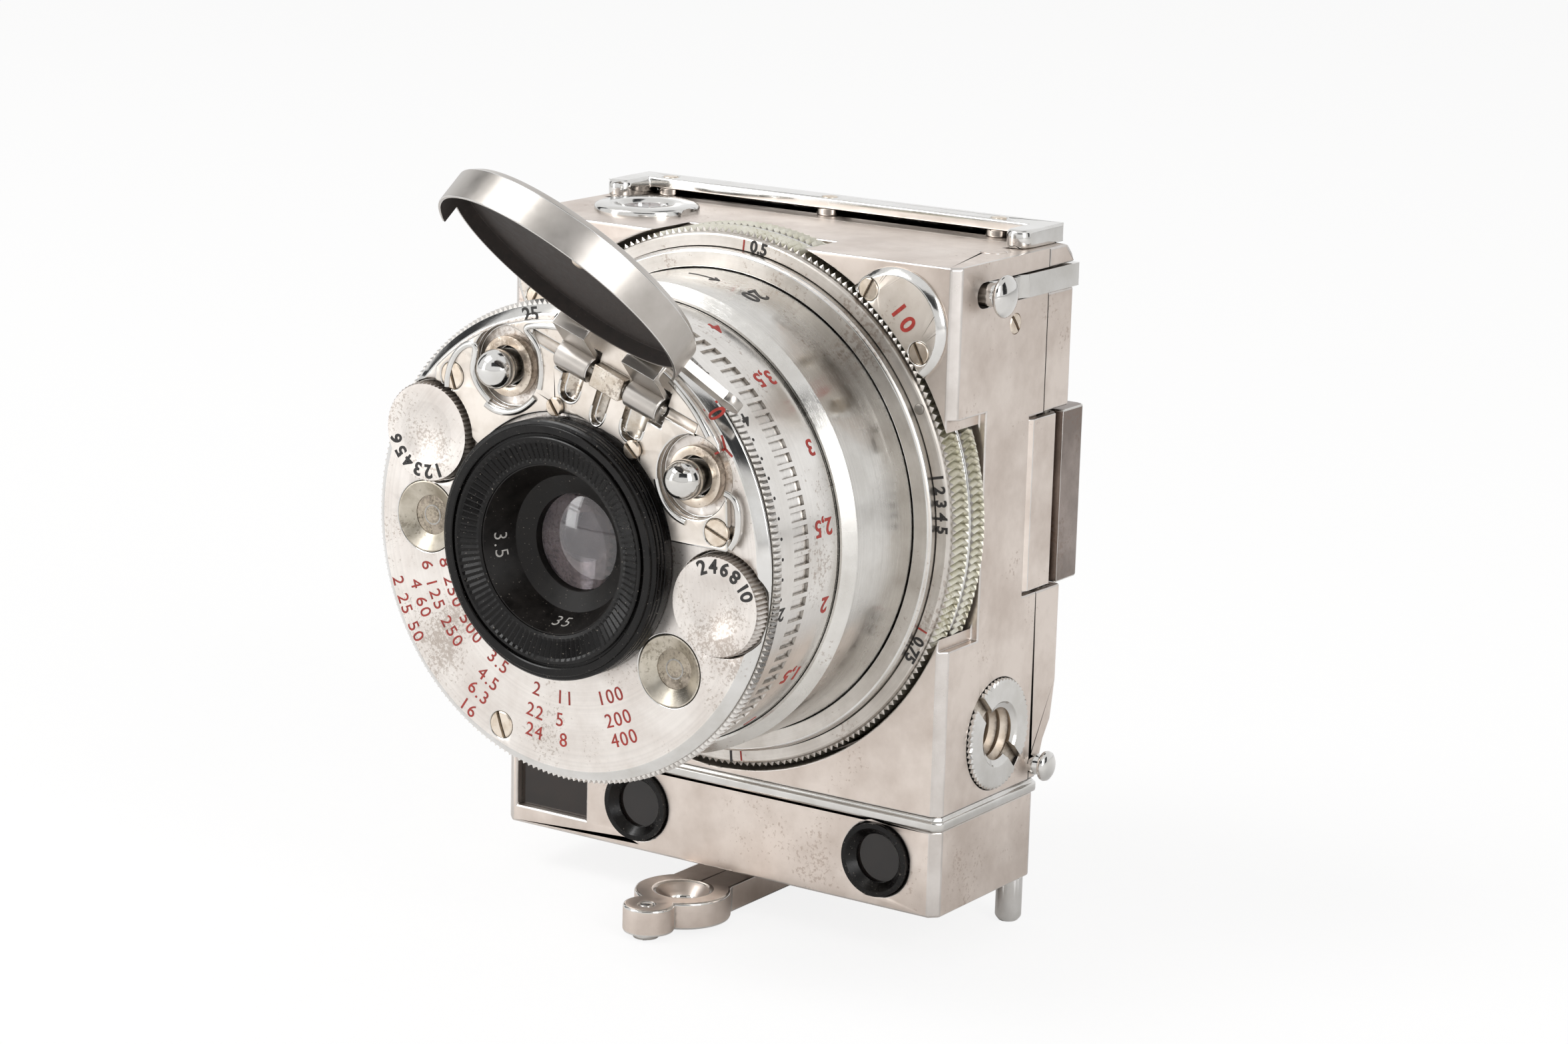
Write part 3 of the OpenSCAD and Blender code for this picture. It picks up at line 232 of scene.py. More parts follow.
floorFinish, tree = newMaterial("matt white studio floor")
path = addNode(tree, "LightPath")
grain = noise(tree, objectSpace(tree), 2.5, detail=2.0)
tone = ramp(tree, grain, [(0.3, "#F2F1F0"), (0.7, studio["floorColour"])])
lit = addNode(tree, "BsdfDiffuse", {"Color": tone})
own = addNode(tree, "Emission", {"Color": linear("#FFFFFF"), "Strength": 1.0})
share = calculate(tree, "MULTIPLY", path.outputs["Is Camera Ray"], studio["floorOwnLight"])
surface(tree, addNode(tree, "MixShader", {0: share, 1: lit.outputs[0], 2: own.outputs[0]}))
bpy.ops.mesh.primitive_plane_add(size=6, location=(0, 0, body["floor"] * mm))
floor = bpy.context.object
floor.name = "studio_floor"
floor.data.materials.append(floorFinish)

# Grey cards that only reflections see: they give the polished metal its dark edges
cardFinish, tree = newMaterial("matt grey studio card")
grain = noise(tree, objectSpace(tree), 1000 / 30)
tone = ramp(tree, grain, [(0.3, "#3A3B3D"), (0.7, "#434446")])
surface(tree, addNode(tree, "BsdfDiffuse", {"Color": tone}))
for name, where, size in [("card_over_camera", (0.5, -0.9, 0.75), (1.0, 0.5)),
                          ("card_right", (1.3, 0.5, 0.5), (0.5, 0.9)),
                          ("card_left", (-1.2, 0.1, 0.5), (0.35, 0.9)),
                          ("card_above", (0.1, 0.5, 1.3), (0.5, 0.5))]:
    bpy.ops.mesh.primitive_plane_add(size=1, location=where)
    card = bpy.context.object
    card.name = name
    card.scale = (size[0], size[1], 1)
    card.rotation_euler = (Vector(where) - Vector((0, 0, 0.04))).to_track_quat("Z", "Y").to_euler()
    card.data.materials.append(cardFinish)
    card.visible_camera = False
    card.visible_diffuse = False
    card.visible_shadow = False


# Finishes
print("finishes")


# A metal surface. Lengths in the look are millimetres: mottle and grain are pattern sizes, lathe is the
# spacing of turning marks round the lens axis, and the grime reach is how far occlusion darkening reaches
# from corners
def makeMetal(name, look):
    made, tree = newMaterial(name)
    coords = objectSpace(tree)
    mottle = noise(tree, coords, look.get("mottle", 5), detail=5.0, roughness=0.62)
    colour = ramp(tree, mottle, [(0.35, look["dark"]), (0.62, look["light"])])
    specks = noise(tree, coords, look.get("speckSize", 0.45), detail=3.0, roughness=0.7)
    speckArea = noise(tree, coords, 9.0, detail=2.0)
    limit = 1.42 - look.get("specks", 0.2)
    speckMask = spread(tree, calculate(tree, "ADD", specks, speckArea), limit - 0.03, limit + 0.05, 0.0, 0.5)
    colour = mix(tree, speckMask, colour, linear(look.get("speckColour", "#8A7668")))
    height = noise(tree, coords, look.get("grain", 0.12), detail=2.0)
    if "lathe" in look:
        flat = addNode(tree, "VectorMath", {0: coords, 1: (1, 0, 1)}, operation="MULTIPLY")
        fromAxis = addNode(tree, "VectorMath", {0: flat.outputs[0], 1: (0, 0, body["axisZ"] * mm)},
                           operation="DISTANCE")
        parts = addNode(tree, "SeparateXYZ", {0: coords})
        along = calculate(tree, "SUBTRACT", fromAxis.outputs["Value"], parts.outputs["Y"])
        rings = addNode(tree, "TexNoise", {
            "W": along, "Scale": 1000 / look["lathe"], "Detail": 3.0, "Roughness": 0.7},
            noise_dimensions="1D").outputs[0]
        height = calculate(tree, "MULTIPLY_ADD", rings, look["latheDepth"], height)
        ringTone = spread(tree, rings, 0.3, 0.7, look.get("latheTone", 0.93), 1.0)
        colour = mix(tree, 1.0, colour, ringTone, "MULTIPLY")
    lengthwise = addNode(tree, "Mapping", {"Vector": coords, "Rotation": (0.3, 0.9, 0.5),
                                                     "Scale": (1, 14, 1)})
    hairlines = noise(tree, lengthwise.outputs[0], 7.0, detail=4.0, roughness=0.75)
    nearHalf = calculate(tree, "ABSOLUTE", calculate(tree, "SUBTRACT", hairlines, 0.5))
    scratch = spread(tree, nearHalf, 0.0, 0.006, look.get("scratches", 0.3), 0.0)
    height = calculate(tree, "MULTIPLY_ADD", scratch, -1.5, height)
    smudge = noise(tree, coords, look.get("smudge", 6.0), detail=4.0, roughness=0.6)
    rough = calculate(tree, "MULTIPLY_ADD", scratch, 0.25, spread(tree, smudge, 0.35, 0.65, *look["rough"]))
    # Grime: ambient occlusion darkens corners, creases and recesses towards the grime colour; this is partly
    # dirt and partly painted shade
    if "grimeAndShade" in look:
        occlusion = addNode(tree, "AmbientOcclusion", {"Distance": look.get("grimeAndShadeReach", 0.5) * mm},
                         samples=6, only_local=True)
        deep = calculate(tree, "MULTIPLY_ADD", specks, 0.5, occlusion.outputs["AO"])
        grimeAndShadeMask = spread(tree, deep, *look.get("grimeAndShadeEdge", (0.75, 1.15)), look.get("grimeAndShadeDepth", 0.85), 0.0)
        colour = mix(tree, grimeAndShadeMask, colour, linear(look["grimeAndShade"]))
        rough = calculate(tree, "MULTIPLY_ADD", grimeAndShadeMask, 0.45, rough, clamp=True)
    surface(tree, addNode(tree, "BsdfPrincipled", {
        "Base Color": colour, "Metallic": 1.0, "Roughness": rough,
        "Normal": bump(tree, height, look.get("relief", 2.0))}))
    return made


# A painted, lacquered or blackened surface
def makeCoat(name, look):
    made, tree = newMaterial(name)
    coords = objectSpace(tree)
    mottle = noise(tree, coords, look.get("mottle", 1.5), detail=5.0, roughness=0.65)
    colour = ramp(tree, mottle, [(0.35, look["dark"]), (0.65, look["light"])])
    dust = spread(tree, noise(tree, coords, 0.2, detail=1.0), 0.72, 0.78, 0.0, look.get("dust", 0.0))
    colour = mix(tree, dust, colour, linear("#B9B0A4"))
    fine = noise(tree, coords, look.get("grain", 0.15), detail=2.0)
    surface(tree, addNode(tree, "BsdfPrincipled", {
        "Base Color": colour, "Roughness": spread(tree, mottle, 0.35, 0.65, *look["rough"]),
        "IOR": look.get("ior", 1.5), "Normal": bump(tree, fine, look.get("relief", 4.0)),
        "Coat Weight": look.get("coat", 0.0), "Coat Roughness": 0.12}))
    return made


def makeGlass(name, look):
    made, tree = newMaterial(name)
    haze = noise(tree, objectSpace(tree), 1.8, detail=4.0)
    surface(tree, addNode(tree, "BsdfPrincipled", {
        "Base Color": ramp(tree, haze, [(0.3, look["dark"]), (0.7, look["light"])]),
        "Roughness": spread(tree, haze, 0.0, 1.0, 0.0, look["haze"]), "IOR": look.get("ior", 1.52),
        "Transmission Weight": look["clear"], "Coat Weight": look.get("coat", 0.0)}))
    return made


finish = {
    # Milled and bead-dulled aluminium, gone warm with handling: a soft beige grey with faint specks, and
    # painted shade in its corners
    "satin": makeMetal("milled satin aluminium", {
        "light": "#DBD1C9", "dark": "#C6BAB1", "mottle": 7, "specks": 0.19, "speckColour": "#A08C7F",
        "rough": (0.34, 0.44), "relief": 1.6, "grain": 0.16, "scratches": 0.2,
        "grimeAndShade": "#4B4038", "grimeAndShadeReach": 0.35, "grimeAndShadeDepth": 0.55}),
    # Fine turned aluminium, whiter than the body, with brown specks where the surface has pitted, and dirt
    # with painted shade in its corners
    "disc": makeMetal("turned satin aluminium of the front disc", {
        "light": "#E2DDD8", "dark": "#D2CBC5", "mottle": 5, "specks": 0.3, "speckColour": "#8B7A6C",
        "speckSize": 0.28, "rough": (0.3, 0.4), "lathe": 0.35, "latheDepth": 0.5, "relief": 1.2,
        "grimeAndShade": "#6E5D4B", "grimeAndShadeReach": 0.5, "grimeAndShadeDepth": 0.7, "scratches": 0.2}),
    # Turned and polished aluminium of the tubes: close rings, smudges and long hairlines
    "tube": makeMetal("turned polished aluminium of the tubes", {
        "light": "#DAD8D4", "dark": "#C9C6C1", "mottle": 7, "specks": 0.16, "rough": (0.12, 0.3), "smudge": 4,
        "lathe": 0.3, "latheDepth": 1.4, "relief": 0.9, "scratches": 0.5, "latheTone": 0.9}),
    # The same on the speed ring, brighter, with dark dirt and painted shade in its windows and teeth
    "speed": makeMetal("turned bright aluminium of the speed ring", {
        "light": "#E6E3DF", "dark": "#D6D2CD", "mottle": 7, "specks": 0.2, "rough": (0.14, 0.26), "smudge": 5,
        "lathe": 0.3, "latheDepth": 1.0, "relief": 0.7, "scratches": 0.3, "latheTone": 0.95,
        "grimeAndShade": "#4A3D2E", "grimeAndShadeReach": 0.3, "grimeAndShadeDepth": 0.8}),
    # Bright satin aluminium of the corner plates and the cover plate, smoother than the body, with painted
    # shade in its corners
    "plate": makeMetal("pressed satin aluminium of the plates", {
        "light": "#DED7CF", "dark": "#CEC5BB", "mottle": 4, "specks": 0.2, "speckColour": "#A3907F",
        "rough": (0.34, 0.44), "relief": 0.9, "grimeAndShade": "#6E5D4B", "grimeAndShadeReach": 0.3, "grimeAndShadeDepth": 0.5}),
    # Finer and greyer than the body's satin, for its slanted upright edges
    "edgeBand": makeMetal("smooth aluminium of the slanted edges", {
        "light": "#D2CDC9", "dark": "#C2BCB7", "mottle": 5, "specks": 0.12, "rough": (0.26, 0.34),
        "relief": 0.8, "scratches": 0.3}),
    # Scooped finger slots behind the cap: bright metal with brown grime and painted shade darkening the
    # bottom
    "scoop": makeMetal("worn bright metal with brown grime and painted shade", {
        "light": "#D9D2C8", "dark": "#B9AD9E", "mottle": 1.5, "specks": 0.36, "speckColour": "#5B4939",
        "rough": (0.18, 0.3), "relief": 1.0, "grimeAndShade": "#4A3C2E", "grimeAndShadeReach": 1.0, "grimeAndShadeDepth": 0.9}),
    # Turned satin aluminium of the focus ring, with dirt and painted shade in its corners
    "ringFace": makeMetal("turned satin aluminium of the focus ring", {
        "light": "#D2CDC7", "dark": "#BEB8B1", "mottle": 4, "specks": 0.25, "rough": (0.28, 0.4),
        "lathe": 0.25, "latheDepth": 1.0, "relief": 1.2, "scratches": 0.4,
        "grimeAndShade": "#4E4A38", "grimeAndShadeReach": 0.3, "grimeAndShadeDepth": 0.6}),
    "polished": makeMetal("buffed bright aluminium", {
        "light": "#D6D5D3", "dark": "#C6C4C0", "mottle": 5, "specks": 0.12, "rough": (0.07, 0.16),
        "relief": 0.5, "grain": 0.3, "scratches": 0.45}),
    # Knurled aluminium, yellowish, with dirt and painted shade in the roots of its teeth
    "knurl": makeMetal("knurled aluminium with dirt and painted shade in its roots", {
        "light": "#E4E1D6", "dark": "#D2CFBE", "mottle": 1.6, "specks": 0.3, "speckColour": "#8A7F4A",
        "rough": (0.3, 0.45), "relief": 2, "scratches": 0.2, "grimeAndShade": "#6E6A4E", "grimeAndShadeReach": 0.4,
        "grimeAndShadeDepth": 0.75, "grimeAndShadeEdge": (0.5, 1.1)}),
    # Nickelled steel of the slotted screws, yellowed a little, with painted shade darkening their slots
    "screw": makeMetal("yellowed nickel on steel screws", {
        "light": "#DFD4C6", "dark": "#C6B7A5", "mottle": 1.2, "specks": 0.25, "speckColour": "#5F5146",
        "rough": (0.25, 0.38), "relief": 1.5, "scratches": 0.3, "grimeAndShade": "#2B2420", "grimeAndShadeReach": 0.25,
        "grimeAndShadeDepth": 0.95}),
    # Yellowed nickel of the cam collars and the bush's bore, with dirt and painted shade in their hollows
    "collar": makeMetal("yellowed nickel of the cam collars", {
        "light": "#D9CEC1", "dark": "#BDAE9D", "mottle": 2, "specks": 0.28, "speckColour": "#6F5D4C",
        "rough": (0.25, 0.4), "relief": 1.5, "grimeAndShade": "#4A3A2C", "grimeAndShadeReach": 0.6, "grimeAndShadeDepth": 0.8}),
    # Turned dull nickel of the cones round the two small windows, greyer than the disc
    "cone": makeMetal("turned dull nickel of the window cones", {
        "light": "#C6BFB2", "dark": "#A79F90", "mottle": 2, "specks": 0.3, "speckColour": "#6F675A",
        "rough": (0.25, 0.4), "relief": 1.5, "scratches": 0.3}),
    # Drawn steel of the back strap, with painted shade in its corners
    "bridge": makeMetal("drawn steel of the back strap", {
        "light": "#968B85", "dark": "#7B716B", "mottle": 5, "specks": 0.3, "speckColour": "#7B6A60",
        "rough": (0.25, 0.36), "relief": 1.2, "scratches": 0.35, "grimeAndShade": "#3A322C", "grimeAndShadeReach": 0.3}),
    "cap": makeMetal("spun satin aluminium of the cap", {
        "light": "#BCB7B2", "dark": "#ACA7A1", "mottle": 6, "specks": 0.1, "rough": (0.28, 0.36),
        "relief": 0.8, "scratches": 0.15}),
    "works": makeMetal("dull grey metal of the inner works", {
        "light": "#8E8A84", "dark": "#75716B", "mottle": 3, "specks": 0.3, "rough": (0.4, 0.55),
        "relief": 2}),
    # Patinated grey brown discs behind the two small windows
    "turret": makeMetal("tarnished metal of the setting discs", {
        "light": "#A0968A", "dark": "#6B6358", "mottle": 0.9, "specks": 0.4, "speckColour": "#C2B8A6",
        "speckSize": 0.3, "rough": (0.4, 0.6), "relief": 4}),
    # Stove black lacquer of the lens ring, with dust on it
    "lacquer": makeCoat("black lacquer of the lens ring", {
        "light": "#0D0B0A", "dark": "#060505", "rough": (0.2, 0.34), "dust": 0.35, "relief": 3, "ior": 1.32}),
    # Blackened cone in front of the glass, duller and greyer
    "blackened": makeCoat("blackened brass of the lens cone", {
        "light": "#171412", "dark": "#0C0A09", "rough": (0.3, 0.44), "dust": 0.3, "ior": 1.32}),
    # Matt brown black lining of the cap
    "lining": makeCoat("matt dark lining of the cap", {
        "light": "#302824", "dark": "#231D1A", "rough": (0.6, 0.75), "mottle": 0.8, "dust": 0.12,
        "relief": 8}),
    "redPaint": makeCoat("red paint in engraving", {
        "light": "#A32F24", "dark": "#842018", "rough": (0.4, 0.55), "mottle": 0.4}),
    "blackPaint": makeCoat("black paint in engraving", {
        "light": "#24211F", "dark": "#151312", "rough": (0.4, 0.55), "mottle": 0.4}),
    "whitePaint": makeCoat("pale grey paint in engraving", {
        "light": "#B9B6B1", "dark": "#8F8C87", "rough": (0.45, 0.6), "mottle": 0.3}),
    # Painted shade: a dark coat on the narrow seam between the body and its back, and on the walls of the
    # bush's sunk seat
    "seam": makeCoat("dark dirt in the seam", {
        "light": "#2A2521", "dark": "#171412", "rough": (0.6, 0.8), "mottle": 0.6, "ior": 1.3}),
    "redDisc": makeCoat("red lacquer under the level glass", {
        "light": "#C8564B", "dark": "#B0433A", "rough": (0.25, 0.35), "coat": 0.5}),
    "felt": makeCoat("black flock of the film plate", {
        "light": "#1C1B1B", "dark": "#121212", "rough": (0.8, 0.9), "grain": 0.08, "relief": 20}),
    "ground": makeGlass("ground glass", {"light": "#E8EDEB", "dark": "#DDE3E1", "haze": 0.6, "clear": 0.8}),
    "lensGlass": makeGlass("coated lens glass", {"light": "#CFC7CC", "dark": "#B4ACB3", "haze": 0.05,
                                                 "clear": 0.95, "ior": 1.62, "coat": 0.6}),
    "clearGlass": makeGlass("clear window glass", {"light": "#E6EAEA", "dark": "#DDE2E2", "haze": 0.04,
                                                   "clear": 1.0}),
    "brownGlass": makeGlass("dark viewfinder glass", {"light": "#2E221B", "dark": "#1F1712", "haze": 0.08,
                                                      "clear": 0.4}),
    "smokeGlass": makeGlass("dark rangefinder glass", {"light": "#2C2522", "dark": "#1D1817", "haze": 0.08,
                                                       "clear": 0.4}),
}


# Modelling helpers
def only(piece):
    bpy.ops.object.select_all(action="DESELECT")
    piece.select_set(True)
    bpy.context.view_layer.objects.active = piece


# Opens a piece in edit mode with all of it selected
def editing(piece):
    only(piece)
    bpy.ops.object.mode_set(mode="EDIT")
    bpy.ops.mesh.select_all(action="SELECT")


def leaveEditing():
    bpy.ops.object.mode_set(mode="OBJECT")


def applied(piece, kind, **settings):
    only(piece)
    bpy.ops.object.modifier_add(type=kind)
    modifier = piece.modifiers[-1]
    for name, value in settings.items():
        setattr(modifier, name, value)
    bpy.ops.object.modifier_apply(modifier=modifier.name)


# Gives each sharp edge its share of the easing; share gets the edge's middle as the CAD writes it:
# x from the middle, y from the body's front, z from the block's underside
def weighEdges(piece, angle, share):
    mesh = piece.data
    sides = {}
    for polygon in mesh.polygons:
        for key in polygon.edge_keys:
            sides.setdefault(key, []).append(polygon.normal)
    weights = mesh.attributes.new("bevel_weight_edge", "FLOAT", "EDGE")
    for edge, weight in zip(mesh.edges, weights.data):
        normals = sides.get(edge.key, [])
        if len(normals) == 2 and normals[0].angle(normals[1], 0) > math.radians(angle):
            middle = (mesh.vertices[edge.vertices[0]].co + mesh.vertices[edge.vertices[1]].co) / 2 / mm
            weight.value = share(middle.x, middle.y - body["frontY"], middle.z)


# Where easing pushed an edge across a thin triangle beside it, that triangle lies face down. Turning
# the edge it shares with the face over it lays both flat again
def layFlat(piece):
    work = bmesh.new()
    work.from_mesh(piece.data)
    for again in range(4):
        for edge in list(work.edges):
            if not edge.is_valid or len(edge.link_faces) != 2:
                continue
            if edge.link_faces[0].normal.dot(edge.link_faces[1].normal) > -0.95:
                continue
            for thin, wide in (tuple(edge.link_faces), tuple(edge.link_faces)[::-1]):
                if len(thin.verts) != 3 or len(wide.verts) != 3:
                    continue
                apex = [vertex for vertex in thin.verts if vertex not in edge.verts][0].co
                corners = [vertex.co for vertex in wide.verts]
                sides = [(corners[i] - corners[i - 1]).cross(apex - corners[i - 1]).dot(wide.normal)
                         for i in range(3)]
                if min(sides) > 0:
                    turnedEdge = bmesh.utils.edge_rotate(edge, False)
                    for face in turnedEdge.link_faces if turnedEdge else ():
                        face.normal_update()
                    break
    work.to_mesh(piece.data)
    work.free()


# Eases every edge sharper than the angle, and shades the piece smooth between them
def easeEdges(piece, width, segments=2, angle=28, edgeSlot=-1, share=None):
    if share is not None:
        weighEdges(piece, angle, share)
    if width > 0:
        applied(piece, "BEVEL", width=width * mm, segments=segments, material=edgeSlot,
                limit_method="ANGLE" if share is None else "WEIGHT",
                angle_limit=math.radians(angle), use_clamp_overlap=False)
        layFlat(piece)
    only(piece)
    bpy.ops.object.shade_smooth_by_angle(angle=math.radians(46))
    applied(piece, "WEIGHTED_NORMAL", keep_sharp=True)


def place(piece, name, bodyName, where=None):
    if where is not None:
        piece.data.transform(where)
    piece.name = name
    piece.data.name = name
    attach(piece, bodyName)
    return piece


# A copy of a CAD node's mesh, merged and left open in edit mode
def mergedCopy(nodeName, ending, finishNames):
    piece = bpy.data.objects.new(nodeName + ending, nodes[nodeName].data.copy())
    bpy.context.scene.collection.objects.link(piece)
    piece.data.materials.clear()
    for finishName in finishNames:
        piece.data.materials.append(finish[finishName])
    piece.data.polygons.foreach_set("material_index", [0] * len(piece.data.polygons))
    editing(piece)
    bpy.ops.mesh.remove_doubles(threshold=0.002 * mm)
    return piece


# A merged copy of a CAD node's mesh that stands for it. Its edges are eased, in edgeFinish if that is given,
# and cutters are taken out of it first
def easedCopy(nodeName, width, finishName, edgeFinish, share, cutters):
    source = nodes[nodeName]
    piece = mergedCopy(nodeName, "_eased", (finishName, edgeFinish) if edgeFinish else (finishName,))
    bpy.ops.mesh.customdata_custom_splitnormals_clear()
    leaveEditing()
    for cutter in cutters:
        cut(piece, cutter)
    editing(piece)
    bpy.ops.mesh.beautify_fill(angle_limit=math.radians(0.5))
    leaveEditing()
    easeEdges(piece, width, edgeSlot=1 if edgeFinish else -1, share=share)
    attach(piece, body_of(source)[0])
    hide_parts(nodeName)
    return piece


# Gives a finish to the faces that test picks by their middle and normal. The middle is as the CAD writes
# it, or with frontY 0 in the piece's own frame
def paint(piece, finishName, test, frontY=body["frontY"]):
    piece.data.materials.append(finish[finishName])
    slot = len(piece.data.materials) - 1
    for polygon in piece.data.polygons:
        x, y, z = polygon.center / mm
        if test(x, y - frontY, z, polygon.normal):
            polygon.material_index = slot


def copied(piece, where):
    copy = piece.copy()
    copy.data = piece.data.copy()
    bpy.context.scene.collection.objects.link(copy)
    copy.data.transform(where)
    return copy


def removed(piece):
    only(piece)
    bpy.ops.object.delete()


# A plain box of the given size about the origin
def block(size, finishName):
    bpy.ops.object.select_all(action="DESELECT")
    bpy.ops.mesh.primitive_cube_add(size=mm)
    piece = bpy.context.object
    piece.data.transform(Matrix.Diagonal((*size, 1)))
    piece.data.materials.append(finish[finishName])
    return piece


# A thin flat stroke between two points, cut up so that it can be laid on a round face
def stroke(start, end, width, finishName):
    length = math.dist(start, end)
    piece = block((length, width, 0.04), finishName)
    editing(piece)
    bpy.ops.mesh.subdivide(number_cuts=3)
    leaveEditing()
    direction = math.degrees(math.atan2(end[1] - start[1], end[0] - start[0]))
    middle = ((start[0] + end[0]) / 2, (start[1] + end[1]) / 2)
    piece.data.transform(shift(*middle, 0) @ turn(direction, "Z"))
    return piece


# The part of a CAD node behind a height on the lens axis, closed, to join to a new front
def partBehind(nodeName, height, finishName):
    piece = mergedCopy(nodeName, "_stem", (finishName,))
    bpy.ops.mesh.select_all(action="SELECT")
    bpy.ops.mesh.bisect(plane_co=(0, (body["frontY"] - height) * mm, 0), plane_no=(0, -1, 0),
                        use_fill=True, clear_outer=True)
    bpy.ops.object.mode_set(mode="OBJECT")
    smoothBelow(piece, 30)
    return piece


# A turned form: a circle extruded along a profile of (radius, height) points. A closed profile
# ends at its first point; an open one is filled flat at both ends
def turned(profile, segments, finishName, ease=None):
    bpy.ops.object.select_all(action="DESELECT")
    radius, height = profile[0]
    bpy.ops.mesh.primitive_circle_add(vertices=segments, radius=radius * mm, location=(0, 0, height * mm))
    piece = bpy.context.object
    bpy.ops.object.transform_apply(location=True)
    bpy.ops.object.mode_set(mode="EDIT")
    bpy.context.tool_settings.mesh_select_mode = (False, True, False)
    bpy.ops.mesh.select_all(action="SELECT")
    for nextRadius, nextHeight in profile[1:]:
        bpy.ops.mesh.extrude_edges_move()
        if nextRadius != radius:
            ratio = nextRadius / radius
            bpy.ops.transform.resize(value=(ratio, ratio, 1), center_override=(0, 0, height * mm))
        if nextHeight != height:
            bpy.ops.transform.translate(value=(0, 0, (nextHeight - height) * mm))
        radius, height = nextRadius, nextHeight
    bpy.ops.mesh.select_all(action="SELECT")
    if profile[0] == profile[-1]:
        bpy.ops.mesh.remove_doubles(threshold=0.001 * mm)
    else:
        bpy.ops.mesh.fill_holes(sides=segments + 1)
        bpy.ops.mesh.select_all(action="SELECT")
    bpy.ops.mesh.normals_make_consistent(inside=False)
    bpy.ops.object.mode_set(mode="OBJECT")
    piece.data.materials.append(finish[finishName])
    if ease is not None:
        easeEdges(piece, ease, 1)
    return piece


def joined(pieces):
    bpy.ops.object.select_all(action="DESELECT")
    for piece in pieces:
        piece.select_set(True)
    bpy.context.view_layer.objects.active = pieces[0]
    if len(pieces) > 1:
        bpy.ops.object.join()
    return bpy.context.object


def cut(piece, cutter, operation="DIFFERENCE"):
    applied(piece, "BOOLEAN", object=cutter, operation=operation, solver="EXACT",
            material_mode="TRANSFER")
    removed(cutter)


# A text made a thin mesh; thickness in mm
def number(text, size, finishName, thickness=0.05, weight=0.0, spacing=1.0):
    bpy.ops.object.select_all(action="DESELECT")
    bpy.ops.object.text_add()
    piece = bpy.context.object
    piece.data.body = text
    piece.data.size = size * mm / 0.7
    piece.data.extrude = thickness * mm / 2
    piece.data.offset = weight * mm
    piece.data.space_character = spacing
    piece.data.align_x = "CENTER"
    piece.data.align_y = "CENTER"
    piece.data.resolution_u = 5
    bpy.ops.object.convert(target="MESH")
    piece = bpy.context.object
    piece.data.materials.clear()
    piece.data.materials.append(finish[finishName])
    editing(piece)
    bpy.ops.mesh.remove_doubles(threshold=0.001 * mm)
    leaveEditing()
    return piece


# Lays a flat piece on a face round a centre; outward: its top points away from the centre
def bendOnFace(piece, radius, degrees, height, outward, centre=(0, 0)):
    sign = 1 if outward else -1
    for vertex in piece.data.vertices:
        x, y, z = vertex.co / mm
        px, py = polar(radius + sign * y, degrees - sign * math.degrees(x / radius))
        vertex.co = Vector((px + centre[0], py + centre[1], z + height)) * mm
    return piece


# Wraps a flat piece on a cylinder about the lens axis so that it reads from the back to the front
def wrapAlongTube(piece, radius, degrees, along):
    for vertex in piece.data.vertices:
        x, y, z = vertex.co / mm
        px, py = polar(radius + z, degrees - math.degrees(y / radius))
        vertex.co = Vector((px, py, along + x)) * mm
    return piece


# Moves every second vertex of the loops that test picks; move takes and gives (radius, angle, height)
def everySecond(piece, segments, test, move, odd=True):
    step = 360 / segments
    for vertex in piece.data.vertices:
        x, y, z = vertex.co / mm
        reach, angle = math.hypot(x, y), math.degrees(math.atan2(y, x))
        if test(reach, z) and (round(angle / step) % 2 == 1) == odd:
            reach, angle, z = move(reach, angle, z)
            vertex.co = Vector((*polar(reach, angle), z)) * mm


def smoothBelow(piece, angle):
    only(piece)
    bpy.ops.object.shade_smooth_by_angle(angle=math.radians(angle))
    return piece


# Body
print("body")


def near(y, z, spot, reach):
    return math.dist((y, z), spot) < reach


# The body's edges: sharp at the seam, the round holes and the latch's slot, widest at the top's corners
def bodyShare(x, y, z):
    if abs(y - body["seamAt"]) < 0.05:
        return 0.25
    if near(y, z, body["bushAt"], 6.2) and abs(x) > 24:
        return 0.2
    if near(y, z, body["sideScrewAt"], 1.5) or (y < 3 and near(abs(x), z, body["cornerAt"], 5)):
        return 0.0
    if z > 64.6 and abs(x) > 26:
        return 1.0
    return 0.2 if abs(x) > 24 and z > 60 and y > 0.9 else 0.55


# Width of the easing, finish, finish of the eased edges, and each edge's share of the width
easedPieces = {
    "main_body": (0.32, "satin", "edgeBand", bodyShare),
    "back_cover": (0.7, "satin", "edgeBand", lambda x, y, z: 0.12 if abs(y - body["seamAt"]) < 0.05
                   else 0.9 if z > 63 and y > 20 else 0.35),
    "finder_block": (0.25, "satin", "edgeBand", None),
    "ledge_band": (0.32, "polished", None, lambda x, y, z: 1.0 if z < 9.5 else 0.45),
    "corner_plates": (0.12, "plate", "polished", None),
    "back_bridge": (0.16, "bridge", "polished", None),
    "top_rail": (0.55, "polished", None,
                 lambda x, y, z: 0.7 if y < 18
                 else 1.0 if abs(x) > 25.3 and y > 22 and 65 < z < 66.4 else 0.3),
    "stand_arm": (0.25, "satin", "polished", None),
    "top_latch": (0.12, "polished", None, None),
    "right_catch": (0.08, "satin", "polished", None),
    "left_catch": (0.08, "satin", "polished", None),
    "front_disc": (0.12, "disc", "polished", None),
    "cover_plate": (0.14, "plate", "polished", None),
    "release_collars": (0.06, "collar", None, None),
    "focus_sleeve": (0.1, "ringFace", "polished", None),
    "foot_pins": (0.15, "polished", None, None),
    "lens_cap": (0.06, "cap", "polished", None),
    "arm_foot": (0.1, "polished", None, None),
    "top_plug": (0.05, "satin", None, None),
    "rail_rivets": (0.08, "screw", None, None),
}
